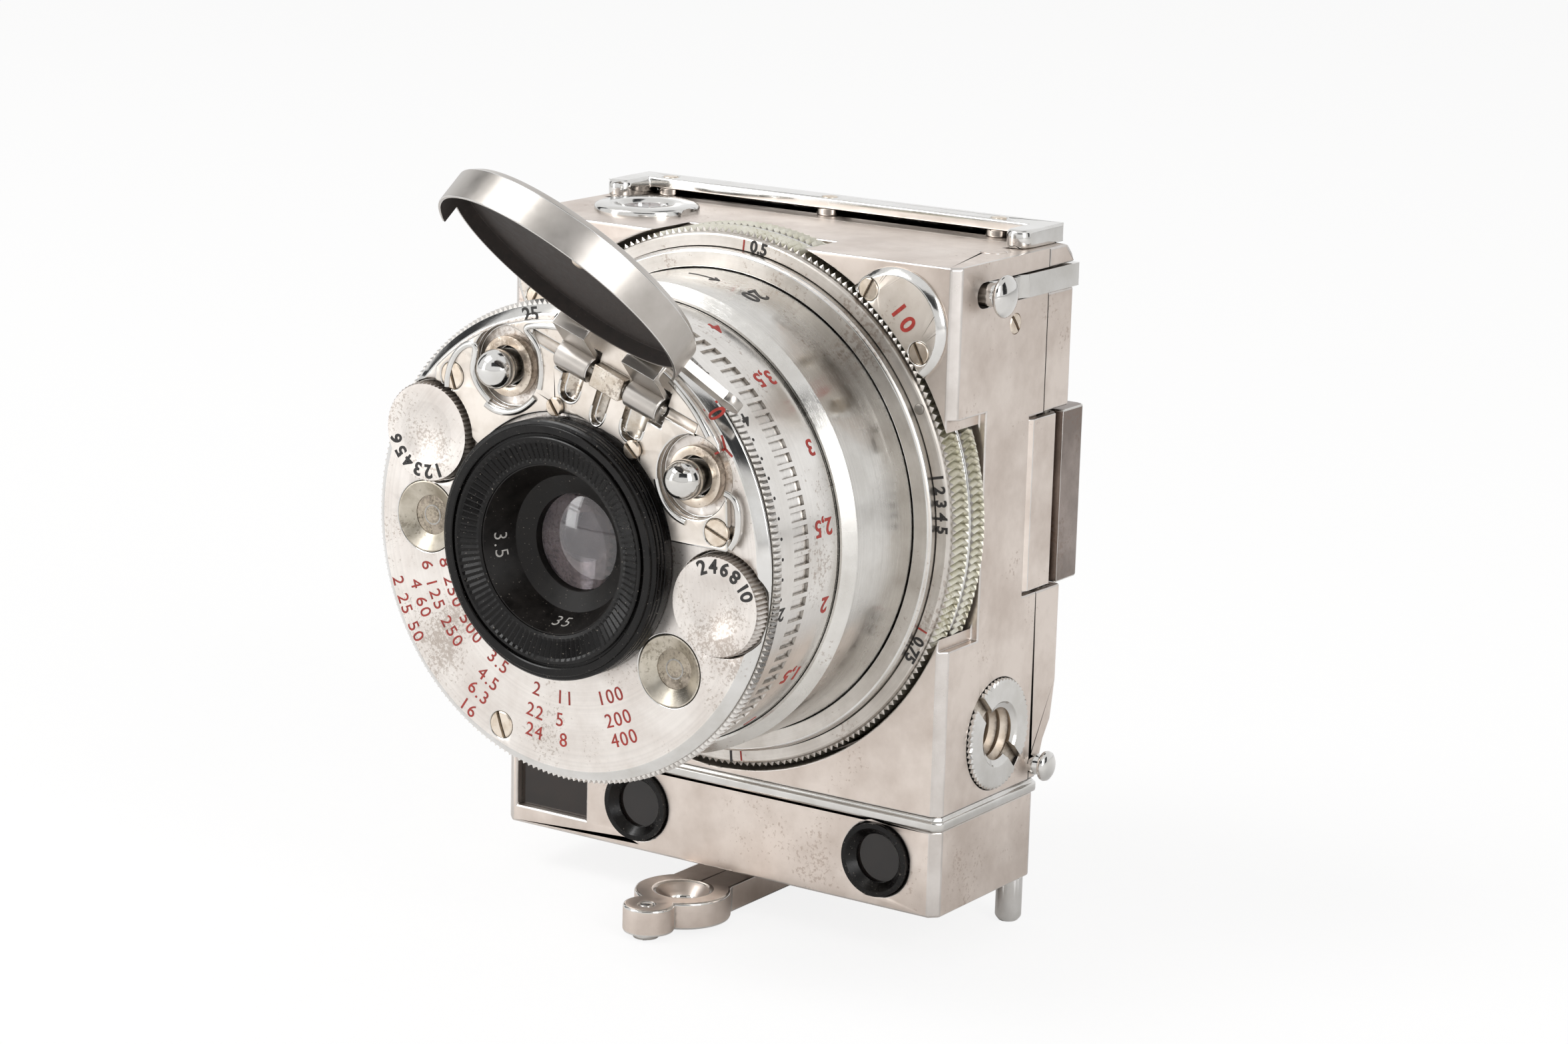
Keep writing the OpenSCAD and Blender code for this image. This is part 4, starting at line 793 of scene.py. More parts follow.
# Three scooped finger slots of the cover plate, and the hinge beside them
plate = {"top": 26.7, "beadHeight": 0.85, "hingeTurn": -19, "hingeAt": 17.65, "hingeHeight": 26.8,
         "scoopDepth": 1.05, "scoopEnd": 16.5}
# Place across, width, foot from the axis
scoops = [(-4.2, 2.5, 13.4), (-0.5, 1.75, 12.75), (3.45, 2.7, 13.1)]
hinge = turn(plate["hingeTurn"], "Z")


def scoopCutters():
    made = []
    for across, width, foot in scoops:
        r = plate["scoopDepth"]
        arc = [polar(r, angle) for angle in range(80, 0, -16)]
        arc = [(radius, foot + r - rise) for radius, rise in arc]
        scoop = turned(arc + [(r, foot + r), (r, plate["scoopEnd"])], 32, "scoop")
        scoop.data.transform(Matrix.Diagonal((width / 2 / r, 1, 1, 1)))
        scoop.data.transform(lensAxis @ hinge @ shift(across, 0, plate["top"] - 0.1) @ turn(-90, "X"))
        made.append(scoop)
    return made


# Polished chamfers round the corner plates, a sunk seat for the bush whose walls take the seam's painted
# shade, and room for the latch's head
chamfers = []
for side in (-1, 1):
    chamfer = turned([(5.1, 0.95), (5.85, 0.25), (7.0, 0.25), (7.0, 0.95), (5.1, 0.95)], 96, "polished")
    chamfer.data.transform(onFront(side * body["cornerAt"][0], body["cornerAt"][1]))
    chamfers.append(chamfer)
bushSeat = turned([(body["bushSeat"], -0.7), (body["bushSeat"], 1.0)], 96, "seam")
bushSeat.data.transform(rightSide @ shift(*body["bushAt"], 0))
headRoom = turned([(2.4, 0.97), (2.4, 3.4)], 32, "polished")
headRoom.data.transform(rightSide @ shift(*body["latchAt"], 0))
cutFirst = {"main_body": [bushSeat], "corner_plates": chamfers, "top_latch": [headRoom],
            "cover_plate": scoopCutters(), "front_disc": scoopCutters()}
easedMade = {}
for nodeName, (width, finishName, edgeFinish, share) in easedPieces.items():
    cutters = cutFirst.get(nodeName, ())
    easedMade[nodeName] = easedCopy(nodeName, width, finishName, edgeFinish, share, cutters)

# Painted shade along the seam round the back, and the smooth slanted edges beside the front
for nodeName in ("main_body", "back_cover"):
    paint(easedMade[nodeName], "seam",
          lambda x, y, z, normal: abs(y - body["seamAt"]) < 0.07 and z < 64.6)
for nodeName in ("main_body", "finder_block"):
    paint(easedMade[nodeName], "edgeBand",
          lambda x, y, z, normal: abs(x) > 25.6 and y < 0.9 and min(abs(normal.x), -normal.y) > 0.5)

# Slotted screws: a head with eased rim and a sharp slot, on its stem
print("screws")
screw = {"slot": 0.36, "slotDepth": 0.34, "rim": 0.1}


def screwMaster(radius, stem, depth):
    shank = [(stem, -depth), (stem, -0.4)] if stem < radius else []
    made = turned(shank + [(radius, -0.4 if shank else -depth), (radius, -screw["rim"]),
                           (radius - screw["rim"], 0), (0.2, 0.03)], 48, "screw")
    tool = block((2 * radius + 1, screw["slot"], 2 * screw["slotDepth"]), "screw")
    cut(made, tool)
    return smoothBelow(made, 30)


def onCornerPlate(side, offset, slotTurn):
    across, up = body["cornerAt"]
    spot = onFront(side * (across + offset[0]), up + offset[1])
    return spot @ shift(0, 0, 0.9) @ turn(side * slotTurn, "Z")


screwSets = {
    "corner_screws": ((1.1, 0.6, 2.6), [onCornerPlate(side, offset, slotTurn) for side in (1, -1)
                                        for offset, slotTurn in (((-2.7, 3.4), 62), ((3.2, -2.1), -62))]),
    "side_screw": ((1.03, 1.03, 1.9), [rightSide @ shift(*body["sideScrewAt"], 0.05) @ turn(-50, "Z")]),
    "disc_screws": ((1.3, 0.7, 1.5), [lensAxis @ shift(x, y, z) @ turn(slotTurn, "Z") for x, y, z, slotTurn in
                                      ((-13.1, 14.75, 26.75, 108), (17.7, 4.1, 26.75, -22),
                                       (-7.3, -18.85, 26.05, 110))]),
    "plate_screws": ((0.9, 0.5, 3.0), [lensAxis @ shift(*polar(13.45, angle), 27.2) @ turn(slotTurn, "Z")
                                       for angle, slotTurn in ((93, -55), (52, -45))]),
}
for nodeName, (size, places) in screwSets.items():
    master = screwMaster(*size)
    made = joined([copied(master, where) for where in places])
    removed(master)
    place(made, nodeName + "_slotted", body_of(nodes[nodeName])[0])
    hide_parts(nodeName)

# CAD pieces whose shape is right keep it and get their finish
plainPieces = {
    "viewfinder_window": "brownGlass", "eyepieces": "smokeGlass", "rangefinder_bezels": "lacquer",
    "rangefinder_glasses": "smokeGlass", "beam_splitter": "clearGlass", "turning_mirror": "clearGlass",
    "level_glass": "clearGlass", "level_disc": "redDisc", "film_gate": "blackened",
    "focusing_screen": "ground", "pressure_plate": "felt", "arm_pivot": "satin", "catch_pins": "works",
    "outer_barrel": "tube", "inner_barrel": "tube", "shutter_plate": "works", "shutter_disc": "works",
    "aperture_turret": "turret", "filter_turret": "turret", "lens_hood": "blackened",
    "rear_cell": "blackened", "hinge_pin": "polished",
}
for nodeName, finishName in plainPieces.items():
    for materialSlot in nodes[nodeName].material_slots:
        materialSlot.material = finish[finishName]


# Knurled rings of the focus: pointed teeth that lean, between smooth rims
print("focus rings")
knurling = {"teeth": 224, "depth": 0.5, "lean": 0.5, "radius": 27.29, "bore": 25.5}


def knurledRing(name, nodeName, back, front, rim):
    r, bore = knurling["radius"], knurling["bore"]
    middle = back + (front - back) * 0.45
    segments = knurling["teeth"] * 2
    piece = turned([(bore, back), (r - 0.15, back), (r, back + 0.15), (r, middle), (r, front)] + rim
                   + [(bore, back)], segments, "knurl")
    low = r - knurling["depth"]
    everySecond(piece, segments, lambda reach, z: reach > r - 0.01 and z < front + 0.01,
                lambda reach, angle, z: (low, angle, z))
    everySecond(piece, segments, lambda reach, z: reach > r - 0.01 and abs(z - middle) < 0.02,
                lambda reach, angle, z: (reach, angle + knurling["lean"], z), odd=False)
    everySecond(piece, segments, lambda reach, z: abs(reach - low) < 0.01 and abs(z - middle) < 0.02,
                lambda reach, angle, z: (reach, angle + knurling["lean"], z))
    paint(piece, "ringFace", lambda x, y, z, normal: z > front + 0.02, 0)
    smoothBelow(piece, 20)
    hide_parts(nodeName)
    return place(piece, name, body_of(nodes[nodeName])[0], lensAxis)


knurledRing("focus_ring_knurled", "focus_ring", -2.6, -0.15,
            [(26.85, -0.05), (26.82, 0.3), (26.7, 0.52), (26.55, 0.6), (25.5, 0.6)])
knurledRing("rear_ring_knurled", "rear_ring", -5.5, -3.4, [(27.1, -3.2), (25.5, -3.2)])
strip = turned([(25.5, -3.2), (27.05, -3.2), (27.15, -3.1), (27.15, -2.7), (27.05, -2.6), (25.5, -2.6),
                (25.5, -3.2)], 192, "polished", 0)
place(strip, "polished_strip_turned", body_of(nodes["polished_strip"])[0], lensAxis)
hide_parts("polished_strip")

# Numbers of the distance scale, with red ticks, on the front face of the focus ring
distance = {"height": 0.61, "radius": 26.04, "size": 1.15, "tick": (0.18, 1.05, 0.05)}
marks = []
for text, degrees, tick in [("0.5", 81.0, 84.9), ("0.75", -26.0, -21.0), ("1", -84.9, -82.2),
                            ("1 2 3 4 5", 7.6, None), ("1.5", -128, -124), ("3", 200, 204)]:
    piece = number(text, distance["size"], "blackPaint", weight=0.05)
    marks.append(bendOnFace(piece, distance["radius"], degrees, distance["height"], True))
    if tick is not None:
        line = block(distance["tick"], "redPaint")
        marks.append(bendOnFace(line, distance["radius"], tick, distance["height"], True))
place(joined(marks), "distance_numbers", body_of(nodes["focus_ring"])[0], lensAxis)

# Small round pin in the face of the focus ring
pin = turned([(0.55, 0.45), (0.55, 0.68), (0.42, 0.8), (0.15, 0.84)], 24, "works", 0.03)
pin.data.transform(shift(*polar(26.15, 28.2), 0))
place(pin, "focus_ring_pin", body_of(nodes["focus_ring"])[0], lensAxis)

# Speed ring: two hundred sides of unequal width, so that every second one is a window
print("speed ring")
speed = {"radius": 22.0, "bore": 21.1, "back": 12.55, "rimBack": 24.05, "front": 24.85, "rimRadius": 23.3,
         "windows": 100, "windowWidth": 2.45, "windowAt": 1.8, "windowBack": 17.5, "windowFront": 20.0,
         "windowDepth": 0.3, "teeth": 240, "toothRoot": 22.8, "dots": 72, "dotPlace": 21.93}
pitch = 360 / speed["windows"]
r, bore, back, rimBack = speed["radius"], speed["bore"], speed["back"], speed["rimBack"]
ring = turned([(bore, back), (r - 0.15, back), (r, back + 0.15), (r, speed["windowBack"]),
               (r, speed["windowFront"]), (r, rimBack), (bore, rimBack), (bore, back)],
              speed["windows"] * 2, "speed")
half = speed["windowWidth"] / 2
for vertex in ring.data.vertices:
    isOdd = round(math.degrees(math.atan2(vertex.co.y, vertex.co.x)) / (pitch / 2)) % 2 == 1
    vertex.co = turn(speed["windowAt"] + (half - pitch / 2 if isOdd else -half), "Z") @ vertex.co
for polygon in ring.data.polygons:
    x, y, z = polygon.center / mm
    offset = (math.degrees(math.atan2(y, x)) - speed["windowAt"] + pitch / 2) % pitch - pitch / 2
    isOuter = speed["windowBack"] < z < speed["windowFront"] and math.hypot(x, y) > 21.6
    polygon.select = isOuter and abs(offset) < 0.4
bpy.context.tool_settings.mesh_select_mode = (False, False, True)
bpy.ops.object.mode_set(mode="EDIT")
bpy.ops.mesh.inset(thickness=0.07 * mm, depth=-speed["windowDepth"] * mm, use_individual=True)
leaveEditing()
smoothBelow(ring, 12)
r, front, segments = speed["rimRadius"], speed["front"], speed["teeth"] * 2
rim = turned([(bore, rimBack), (r, rimBack), (r, front), (bore, front), (bore, rimBack)], segments, "speed")
everySecond(rim, segments, lambda reach, z: reach > 23 and z > front - 0.05,
            lambda reach, angle, z: (speed["toothRoot"], angle, z))
smoothBelow(rim, 10)
ring = joined([ring, rim])
place(ring, "speed_ring_cut", "speeds", lensAxis)
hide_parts("speed_ring")

dots = []
for i in range(speed["dots"]):
    bpy.ops.object.select_all(action="DESELECT")
    bpy.ops.mesh.primitive_circle_add(vertices=8, radius=0.17 * mm, fill_type="NGON")
    dot = bpy.context.object
    dot.data.materials.append(finish["blackPaint"])
    dots.append(wrapAlongTube(dot, speed["radius"] + 0.015, 3.5 + i * 360 / speed["dots"], speed["dotPlace"]))
place(joined(dots), "speed_dots", "speeds", lensAxis)

figures = []
for text, degrees in [("4", 67.5), ("3,5", 48.2), ("3", 28.1), ("2,5", 8.3), ("2", -11.8), ("1,5", -32),
                      ("1", -52), ("5", 88), ("6", 109), ("8", 130)]:
    piece = number(text, 1.6, "redPaint", weight=0.04, spacing=1.05)
    figures.append(wrapAlongTube(piece, speed["radius"] + 0.01, degrees, 14.9 if "," in text else 14.0))
for text, degrees in [("2", -10.5), ("4", 39), ("6", -44)]:
    piece = number(text, 1.3, "blackPaint", weight=0.03)
    figures.append(wrapAlongTube(piece, speed["radius"] + 0.01, degrees, 21.4))
place(joined(figures), "speed_numbers", "speeds", lensAxis)

# Setting knobs: a dished satin cap with sawteeth round its edge
print("knobs and lens")
knobs = {"radius": 4.85, "low": 25.3, "top": 27.1, "teeth": 64, "toothDepth": 0.28, "fromAxis": 18.2}
for name, nodeName, degrees, text, start in [
        ("aperture_knob_cap", "aperture_knob", 150.7, "1 2 3 4 5 6", 245),
        ("filter_knob_cap", "filter_knob", -8.8, "2 4 6 8 10", 68)]:
    r, top = knobs["radius"], knobs["top"]
    centre = polar(knobs["fromAxis"], degrees)
    cap = turned([(1.0, knobs["low"]), (r - 0.2, knobs["low"]), (r, knobs["low"] + 0.15), (r, top - 0.16),
                  (r - 0.16, top), (3.1, top), (2.9, top - 0.04), (2.2, top - 0.24), (1.2, top - 0.38),
                  (0.3, top - 0.42)], knobs["teeth"] * 2, "disc")
    everySecond(cap, knobs["teeth"] * 2, lambda reach, z: reach > r - 0.01,
                lambda reach, angle, z: (r - knobs["toothDepth"], angle + 1.2, z))
    smoothBelow(cap, 24)
    cap.data.transform(lensAxis @ shift(*centre, 0))
    cap = joined([cap, partBehind(nodeName, knobs["low"] + 0.1, "works")])
    place(cap, name, body_of(nodes[nodeName])[0])
    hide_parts(nodeName)
    piece = number(text, 1.3, "blackPaint", weight=0.05, spacing=0.9)
    bendOnFace(piece, 3.75, start, top + 0.02, True, centre)
    place(piece, name + "_numbers", body_of(nodes[nodeName])[0], lensAxis)

# Release pins: a drawn stem with a round polished head
release = {"stem": 1.75, "head": 1.9, "headAt": 28.0, "low": 24.6, "at": ((-6.8, 16.4), (14.9, 8.9))}
for name, nodeName, centre in [("left_release_pin", "left_release", release["at"][0]),
                               ("right_release_pin", "right_release", release["at"][1])]:
    r, top = release["head"], release["headAt"]
    profile = [(release["stem"], release["low"]), (release["stem"], top - 0.75)]
    dome = [polar(r, angle) for angle in range(-20, 90, 10)]
    profile += [(reach, top + rise) for reach, rise in dome]
    pin = turned(profile, 64, "polished")
    smoothBelow(pin, 40)
    pin.data.transform(lensAxis @ shift(*centre, 0))
    pin = joined([pin, partBehind(nodeName, release["low"], "polished")])
    place(pin, name, body_of(nodes[nodeName])[0])
    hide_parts(nodeName)

# Lens ring: fine ridges on its wall, a groove, and a cone of a hundred ribs
lens = {"ribs": 100, "wall": 12.45, "foot": 26.05, "top": 29.0, "bossBack": 23.45}
r, top = lens["wall"], lens["top"]
profile = [(8.2, lens["bossBack"]), (9.4, lens["bossBack"]), (9.4, lens["foot"]), (r - 0.1, lens["foot"]),
           (r, lens["foot"] + 0.1)]
for ridge in (27.1, 27.65, 28.2):
    profile += [(r, ridge), (r - 0.22, ridge + 0.1), (r - 0.22, ridge + 0.2), (r, ridge + 0.3)]
profile += [(r, top - 0.42), (r - 0.15, top - 0.3), (r - 0.4, top - 0.26), (r - 0.45, top - 0.05),
            (11.95, top), (11.3, top), (11.2, top - 0.1), (11.2, top - 0.4), (10.9, top - 0.4),
            (10.9, top - 0.08), (10.8, top), (10.55, top - 0.02), (10.3, top - 0.1), (8.75, top - 0.56),
            (8.5, top - 0.66), (8.2, top - 0.75),
            (8.2, lens["bossBack"])]
ribbed = turned(profile, lens["ribs"] * 2, "lacquer")
everySecond(ribbed, lens["ribs"] * 2, lambda reach, z: 8.6 < reach < 10.4 and z > 28,
            lambda reach, angle, z: (reach, angle, z - 0.16))
smoothBelow(ribbed, 14)
place(ribbed, "lens_ring_ribbed", "lens_unit", lensAxis)
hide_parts("lens_ring")

# Front glass: a domed lens
glass = {"radius": 4.7, "back": 22.6, "top": 24.3, "dome": 12.0}
edge = math.degrees(math.asin(glass["radius"] / glass["dome"]))
profile = [(glass["radius"], glass["back"])]
profile += [(glass["dome"] * math.sin(math.radians(edge * share / 10)),
             glass["top"] - glass["dome"] * (1 - math.cos(math.radians(edge * share / 10))))
            for share in range(10, 0, -1)]
lensGlass = smoothBelow(turned(profile, 64, "lensGlass"), 30)
place(lensGlass, "front_glass_domed", body_of(nodes["front_glass"])[0], lensAxis)
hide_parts("front_glass")

# Pale engraved figures on the steep name ring: only numbers
cone = {"low": (6.6, 25.0), "high": (8.05, 28.15)}
figures = []
for text, degrees in [("3.5", 187), ("35", -88)]:
    piece = number(text, 1.35, "whitePaint", weight=-0.02, spacing=1.15)
    for vertex in piece.data.vertices:
        x, y, z = vertex.co / mm
        share = 0.5 + y / 3.3
        reach = cone["low"][0] + (cone["high"][0] - cone["low"][0]) * (1 - share) - 0.03
        height = cone["low"][1] + (cone["high"][1] - cone["low"][1]) * (1 - share)
        reach -= 0.03 if z > 0 else 0
        vertex.co = Vector((*polar(reach, degrees + math.degrees(x / 7.3)), height)) * mm
    figures.append(piece)
place(joined(figures), "lens_numbers", "lens_unit", lensAxis)

# Red and black numbers on the front disc, on four arcs as a table
print("numbers of the front disc")
table = {"height": 26.01, "size": 1.35, "rimSlope": 0.89, "arcs": (14.9, 17.15, 19.1, 21.2)}
figures = []
rows = [[("8 250 500", -149.5), ("3.5", -121.5), ("2", -102), ("11", -89), ("100", -68)],
        [("6 125 250", -151.5), ("4.5", -121.5), ("22", -101), ("5", -91), ("200", -67.5)],
        [("4 60", -155.5), ("6.3", -122), ("24", -100), ("8", -89.5), ("400", -67.5)],
        [("2 25 50", -154), ("16", -122.5)]]
for radius, row in zip(table["arcs"], rows):
    for text, degrees in row:
        piece = number(text, table["size"], "redPaint", spacing=1.15)
        figures.append(bendOnFace(piece, radius, degrees, table["height"], False))
piece = bendOnFace(number("10", 1.3, "redPaint", weight=0.04), 22.35, 43.0, 26.02, True)
for vertex in piece.data.vertices:  # laid on the slanted rim
    vertex.co.z -= max(0, math.hypot(vertex.co.x, vertex.co.y) - 22 * mm) * table["rimSlope"]
figures.append(piece)
place(joined(figures), "disc_numbers_red", "lens_unit", lensAxis)
piece = bendOnFace(number("25", 1.35, "blackPaint", weight=0.04), 22.0, 101.5, 26.0, True)
place(piece, "disc_numbers_black", "lens_unit", lensAxis)

# Pointers of the front disc: a red three-pronged one at its rim and a plain black one
strokes = [stroke((0, 0), end, 0.22, "redPaint") for end in ((-1.25, 0.35), (-0.1, -1.3), (0.95, 0.35))]
strokes = [bendOnFace(piece, 21.6, 33.4, 26.02, True) for piece in strokes]
place(joined(strokes), "disc_pointer_red", "lens_unit", lensAxis)
strokes = [stroke(start, end, 0.16, "blackPaint") for start, end in [
    ((-1.1, 0), (0.9, 0.1)), ((0.5, -0.8), (0.5, 0.7)), ((0.5, 0.7), (0.15, 0.3)), ((0.5, 0.7), (0.85, 0.3))]]
strokes = [bendOnFace(piece, 21.4, 94.5, 26.02, True) for piece in strokes]
place(joined(strokes), "disc_pointer_black", "lens_unit", lensAxis)
paint(easedMade["front_disc"], "polished", lambda x, y, z, normal: math.hypot(x, z - body["axisZ"]) > 21.95
      and abs(normal.y) < 0.9)

# Cover plate: raised beads along its edges, and three scooped finger slots behind the cap
print("cover plate")
beads = {
    "leftTongue": (0.36, [(-13.7, 13.6), (-13.7, 14.5), (-13.35, 15.93), (-12.34, 17.39), (-11.2, 18.1),
                          (-10.3, 18.1), (-10.25, 17.2), (-10.75, 15.9), (-10.4, 14.6), (-9.3, 13.4),
                          (-8.5, 12.9)]),
    "wellFoot": (0.36, [(-9.0, 12.55), (-8.1, 12.0), (-6.4, 11.9), (-4.4, 12.6), (-3.2, 13.9)]),
    "top": (0.34, [(-2.7, 14.8), (-2.5, 16.0), (-2.55, 17.2), (-2.75, 18.3), (-3.4, 19.4), (-4.3, 20.05),
                   (-4.5, 20.5), (-3.3, 20.8), (-1.1, 21.0), (0.7, 20.9), (1.2, 20.5)]),
    "rightEdge": (0.36, [(12.3, 17.6), (13.2, 16.85), (14.3, 15.9), (15.3, 14.8), (16.1, 13.7),
                         (16.6, 12.9)]),
    "rightTongue": (0.34, [(18.6, 7.9), (19.3, 7.75), (19.85, 7.2), (20.05, 6.2), (20.1, 4.84), (19.9, 3.67),
                           (19.3, 2.9)]),
    "rightWell": (0.34, [(10.9, 8.2), (11.2, 6.9), (11.95, 5.7), (13.1, 4.8), (14.3, 4.55)]),
}


# From across and away in the hinge's frame to the disc's x and y
def fromHinge(across, away):
    spot = hinge @ Vector((across, away, 0))
    return spot.x, spot.y


for index, (across, width, foot) in enumerate(scoops):
    half = width / 2
    lip = [(-half, 1.7), (-half, 0.75), (-half * 0.62, 0.1), (0, -0.12), (half * 0.62, 0.1), (half, 0.75),
           (half, 1.7)]
    beads["lip" + str(index)] = (0.14, [fromHinge(across + u, foot + v) for u, v in lip])
beadPieces = []
for beadWidth, points in beads.values():
    bpy.ops.object.select_all(action="DESELECT")
    bpy.ops.curve.primitive_nurbs_path_add()
    line = bpy.context.object
    line.data.splines.clear()
    spline = line.data.splines.new("NURBS")
    spline.points.add(len(points) - 1)
    for point, (x, y) in zip(spline.points, points):
        point.co = (x * mm, y * mm, 0, 1)
    spline.order_u = 4
    spline.use_endpoint_u = True
    spline.resolution_u = 6
    line.data.bevel_depth = beadWidth * mm
    line.data.bevel_resolution = 3
    line.data.use_fill_caps = True
    bpy.ops.object.convert(target="MESH")
    line = bpy.context.object
    line.data.materials.append(finish["polished"])
    line.data.transform(Matrix.Diagonal((1, 1, plate["beadHeight"], 1)))
    smoothBelow(line, 60)
    beadPieces.append(line)
bead = joined(beadPieces)
bead.data.transform(shift(0, 0, plate["top"] - 0.06))
place(bead, "cover_beads", "lens_unit", lensAxis)
# The bars between the slots
bars = block((9.2, 3.6, 0.66), "plate")
bars.data.transform(lensAxis @ hinge @ shift(0, 14.65, plate["top"] - 0.325))
for cutter in scoopCutters():
    cut(bars, cutter)
place(bars, "cover_bars", "lens_unit")
hingeFrame = lensAxis @ hinge @ shift(0, plate["hingeAt"], plate["hingeHeight"])
toHinge = hingeFrame.inverted()


def onLug(x, y, z, normal):
    spot = toHinge @ Vector((x * mm, (y + body["frontY"]) * mm, z * mm)) / mm
    return abs(spot.x) < 2.4 and abs(spot.y) < 1.6 and spot.z > -0.15


# The lug between the knuckles takes the scoop finish, darker and browner than the plate: painted shade
# standing for the recess there, with grime
paint(easedMade["cover_plate"], "scoop", onLug)
knuckles = []
for side in (-1, 1):
    knuckle = turned([(1.2, -1.95), (1.33, -1.8), (1.33, 1.8), (1.2, 1.95)], 48, "cap")
    smoothBelow(knuckle, 30)
    knuckle.data.transform(hingeFrame @ shift(side * 4.2, 0, 0) @ turn(90, "Y"))
    knuckles.append(knuckle)
place(joined(knuckles), "cap_knuckles", "cap")

# Conical windows: a turned cone with a tarnished disc with a pale ring at its foot
windows = {"radius": 3.48, "hole": 1.95, "depth": 0.86, "top": 26.02, "at": ((-16.6, 0.35), (12.3, -10.1))}
made = []
for centre in windows["at"]:
    r, hole, depth = windows["radius"], windows["hole"], windows["depth"]
    coneWall = turned([(r, -depth - 0.12), (r, -0.02), (r - 0.12, 0), (hole, -depth), (hole, -depth - 0.06),
                       (0.3, -depth - 0.06)], 64, "cone")
    paint(coneWall, "turret", lambda x, y, z, normal: math.hypot(x, y) < hole and z > -depth - 0.1, 0)
    smoothBelow(coneWall, 30)
    mark = turned([(0.85, -depth - 0.1), (0.85, -depth - 0.04), (1.0, -depth - 0.04), (1.0, -depth - 0.1),
                   (0.85, -depth - 0.1)], 32, "whitePaint")
    for piece in (coneWall, mark):
        piece.data.transform(lensAxis @ shift(*centre, windows["top"]))
        made.append(piece)
place(joined(made), "setting_windows", "lens_unit")
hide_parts("window_cones")

# Lens cap: dark lining inside, a worn rivet in its middle
print("cap")
capSetup = {"innerRadius": 12.7, "depth": 3.2, "open": 129.5, "seat": 26.76, "rivetAt": 6.25}
capPlace = (hingeFrame @ turn(-capSetup["open"], "X")
            @ shift(0, -plate["hingeAt"], capSetup["seat"] - plate["hingeHeight"]))
capPiece = easedMade["lens_cap"]
capPiece.data.materials.append(finish["lining"])
toCap = capPlace.inverted()
for polygon in capPiece.data.polygons:
    centre = (toCap @ polygon.center) / mm
    normal = toCap.to_3x3() @ polygon.normal
    outward = Vector((centre.x, centre.y, 0)).normalized().dot(normal)
    reach = math.hypot(centre.x, centre.y)
    inside = reach < capSetup["innerRadius"] + 0.12 and -0.05 < centre.z < capSetup["depth"] + 0.1
    if inside and (outward < -0.5 or (normal.z < -0.5 and centre.z > 1)):
        polygon.material_index = 2
rivet = turned([(0.6, 3.0), (0.6, 3.15), (0.45, 3.25), (0.2, 3.3)], 24, "screw", 0)
rivet.data.transform(Matrix.Diagonal((1, 1, -1, 1)))
rivet.data.transform(shift(0, 0, capSetup["rivetAt"]))
editing(rivet)
bpy.ops.mesh.normals_make_consistent(inside=False)
leaveEditing()
place(rivet, "cap_rivet", "cap", capPlace)

# Tripod bush: knurled face ring, diagonal slot, rings of thread down the bore
print("bush, level, latch")
bush = {"radius": 5.65, "rise": 0.45, "bore": 2.68, "mouth": 3.35, "crest": 3.12, "depth": 5.5,
        "pitch": 1.27, "teeth": 56, "slot": (12.0, 1.5, 1.6), "slotTurn": -45}
profile = [(bush["bore"], -bush["depth"])]
height = -bush["depth"] + 0.5
while height < -0.9:
    profile += [(bush["bore"], height), (bush["crest"], height + bush["pitch"] / 2)]
    height += bush["pitch"]
profile += [(bush["bore"], height), (3.15, 0.25), (bush["mouth"], bush["rise"]),
            (bush["radius"] - 0.15, bush["rise"]),
            (bush["radius"], bush["rise"] - 0.15), (bush["radius"], -0.65), (4.25, -0.65), (4.25, -6.5)]
bushing = turned(profile, bush["teeth"] * 2, "polished")
everySecond(bushing, bush["teeth"] * 2, lambda reach, z: reach > bush["radius"] - 0.16 and z > 0,
            lambda reach, angle, z: (reach - 0.26, angle, z))
smoothBelow(bushing, 25)
# The slot's walls take the scoop finish: brown grime with painted shade
slotCutter = block(bush["slot"], "scoop")
slotCutter.data.transform(turn(bush["slotTurn"], "Z") @ shift(0, 0, bush["rise"]))
cut(bushing, slotCutter)
# The bore and its thread take the collar finish, whose grime colour darkens the thread's grooves: dirt with
# painted shade
paint(bushing, "collar", lambda x, y, z, normal: z < 0.15 and math.hypot(x, y) < bush["mouth"], 0)
place(bushing, "tripod_bush_threaded", "camera_body", rightSide @ shift(*body["bushAt"], 0))
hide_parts("tripod_bush")

# Level: a flat-sided polished ring round the red disc
level = {"x": -16.8, "y": 9.8, "radius": 5.4, "hole": 2.5, "top": 0.75, "flat": 5.15}
ring = turned([(level["hole"], -1.6), (level["hole"], 0.35), (level["hole"] + 0.35, level["top"] - 0.05),
               (level["hole"] + 0.5, level["top"]), (level["radius"] - 0.5, level["top"]),
               (level["radius"] - 0.12, level["top"] - 0.16), (level["radius"], level["top"] - 0.35),
               (level["radius"], 0), (4.4, 0), (4.4, -2.1)], 96, "polished")
only(ring)
bpy.ops.object.mode_set(mode="EDIT")
for side in (-1, 1):
    bpy.ops.mesh.select_all(action="SELECT")
    bpy.ops.mesh.bisect(plane_co=(side * level["flat"] * mm, 0, 0), plane_no=(side, 0, 0), use_fill=True,
                        clear_outer=True)
bpy.ops.object.mode_set(mode="OBJECT")
smoothBelow(ring, 40)
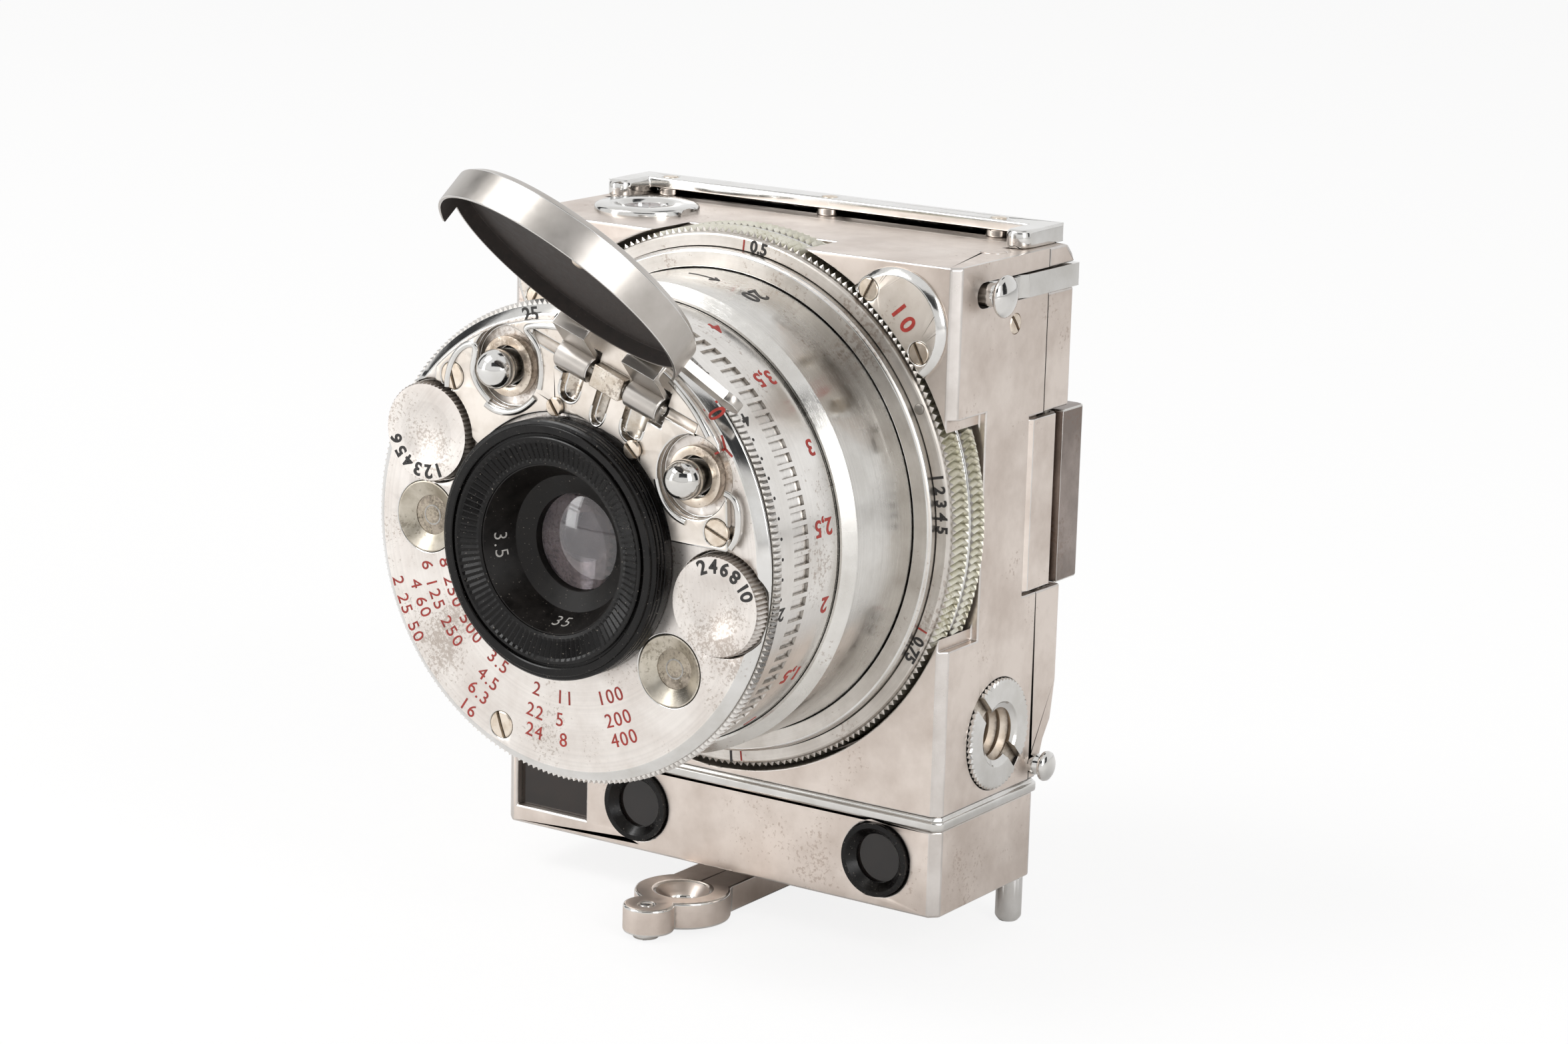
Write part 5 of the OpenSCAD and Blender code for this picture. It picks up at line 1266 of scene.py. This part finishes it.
place(ring, "level_ring_turned", "camera_body", onTop(level["x"], level["y"]))
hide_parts("level_ring")

# Mushroom head of the sliding latch
head = turned([(1.1, -0.4), (1.1, 1.2), (1.5, 1.35), (1.95, 1.5), (2.08, 1.7), (2.1, 1.85), (2.0, 2.02),
               (1.7, 2.22), (1.25, 2.42), (0.8, 2.54), (0.3, 2.6)], 64, "polished")
smoothBelow(head, 50)
place(head, "latch_head", body_of(nodes["top_latch"])[0], rightSide @ shift(*body["latchAt"], 0))

# Stud low on the right side: a narrow collar and a domed head
stud = turned([(0.55, -3.0), (0.55, -0.02), (1.1, 0.0), (1.12, 0.35), (0.98, 0.7), (0.85, 0.92), (1.2, 1.1),
               (1.5, 1.3), (1.55, 1.5), (1.47, 1.75), (1.2, 1.95), (0.8, 2.06), (0.3, 2.1)], 48,
              "polished")
smoothBelow(stud, 50)
place(stud, "back_stud_turned", body_of(nodes["back_stud"])[0], rightSide @ shift(18.2, 11.85, 0))
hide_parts("back_stud")

# Sloped step where the latch's strap rises out of its slot
wedge = block((1.5, 2.3, 0.62), "polished")
for vertex in wedge.data.vertices:
    if vertex.co.x < 0 and vertex.co.z > 0:
        vertex.co.z = -0.2 * mm
easeEdges(wedge, 0.05)
place(wedge, "latch_wedge", body_of(nodes["top_latch"])[0],
      rightSide @ shift(12.1, body["latchAt"][1], 0.11))

# Marks of the tubes and the body
print("marks")
marks = [wrapAlongTube(number("20", 2.0, "blackPaint", weight=0.03), 23.42, 71.8, 6.0)]
for start, end in (((-0.3, -2.0), (0.3, 2.0)), ((0.3, 2.0), (-0.35, 1.1)), ((0.3, 2.0), (0.75, 1.05))):
    marks.append(wrapAlongTube(stroke(start, end, 0.17, "blackPaint"), 23.42, 86.9, 5.75))
place(joined(marks), "tube_numbers", body_of(nodes["outer_barrel"])[0], lensAxis)
piece = number("10", 1.75, "redPaint", weight=0.06, spacing=1.3)
place(piece, "corner_number", "camera_body", onFront(21.0, 59.5, -0.92) @ turn(-50, "Z"))

print("scene done")
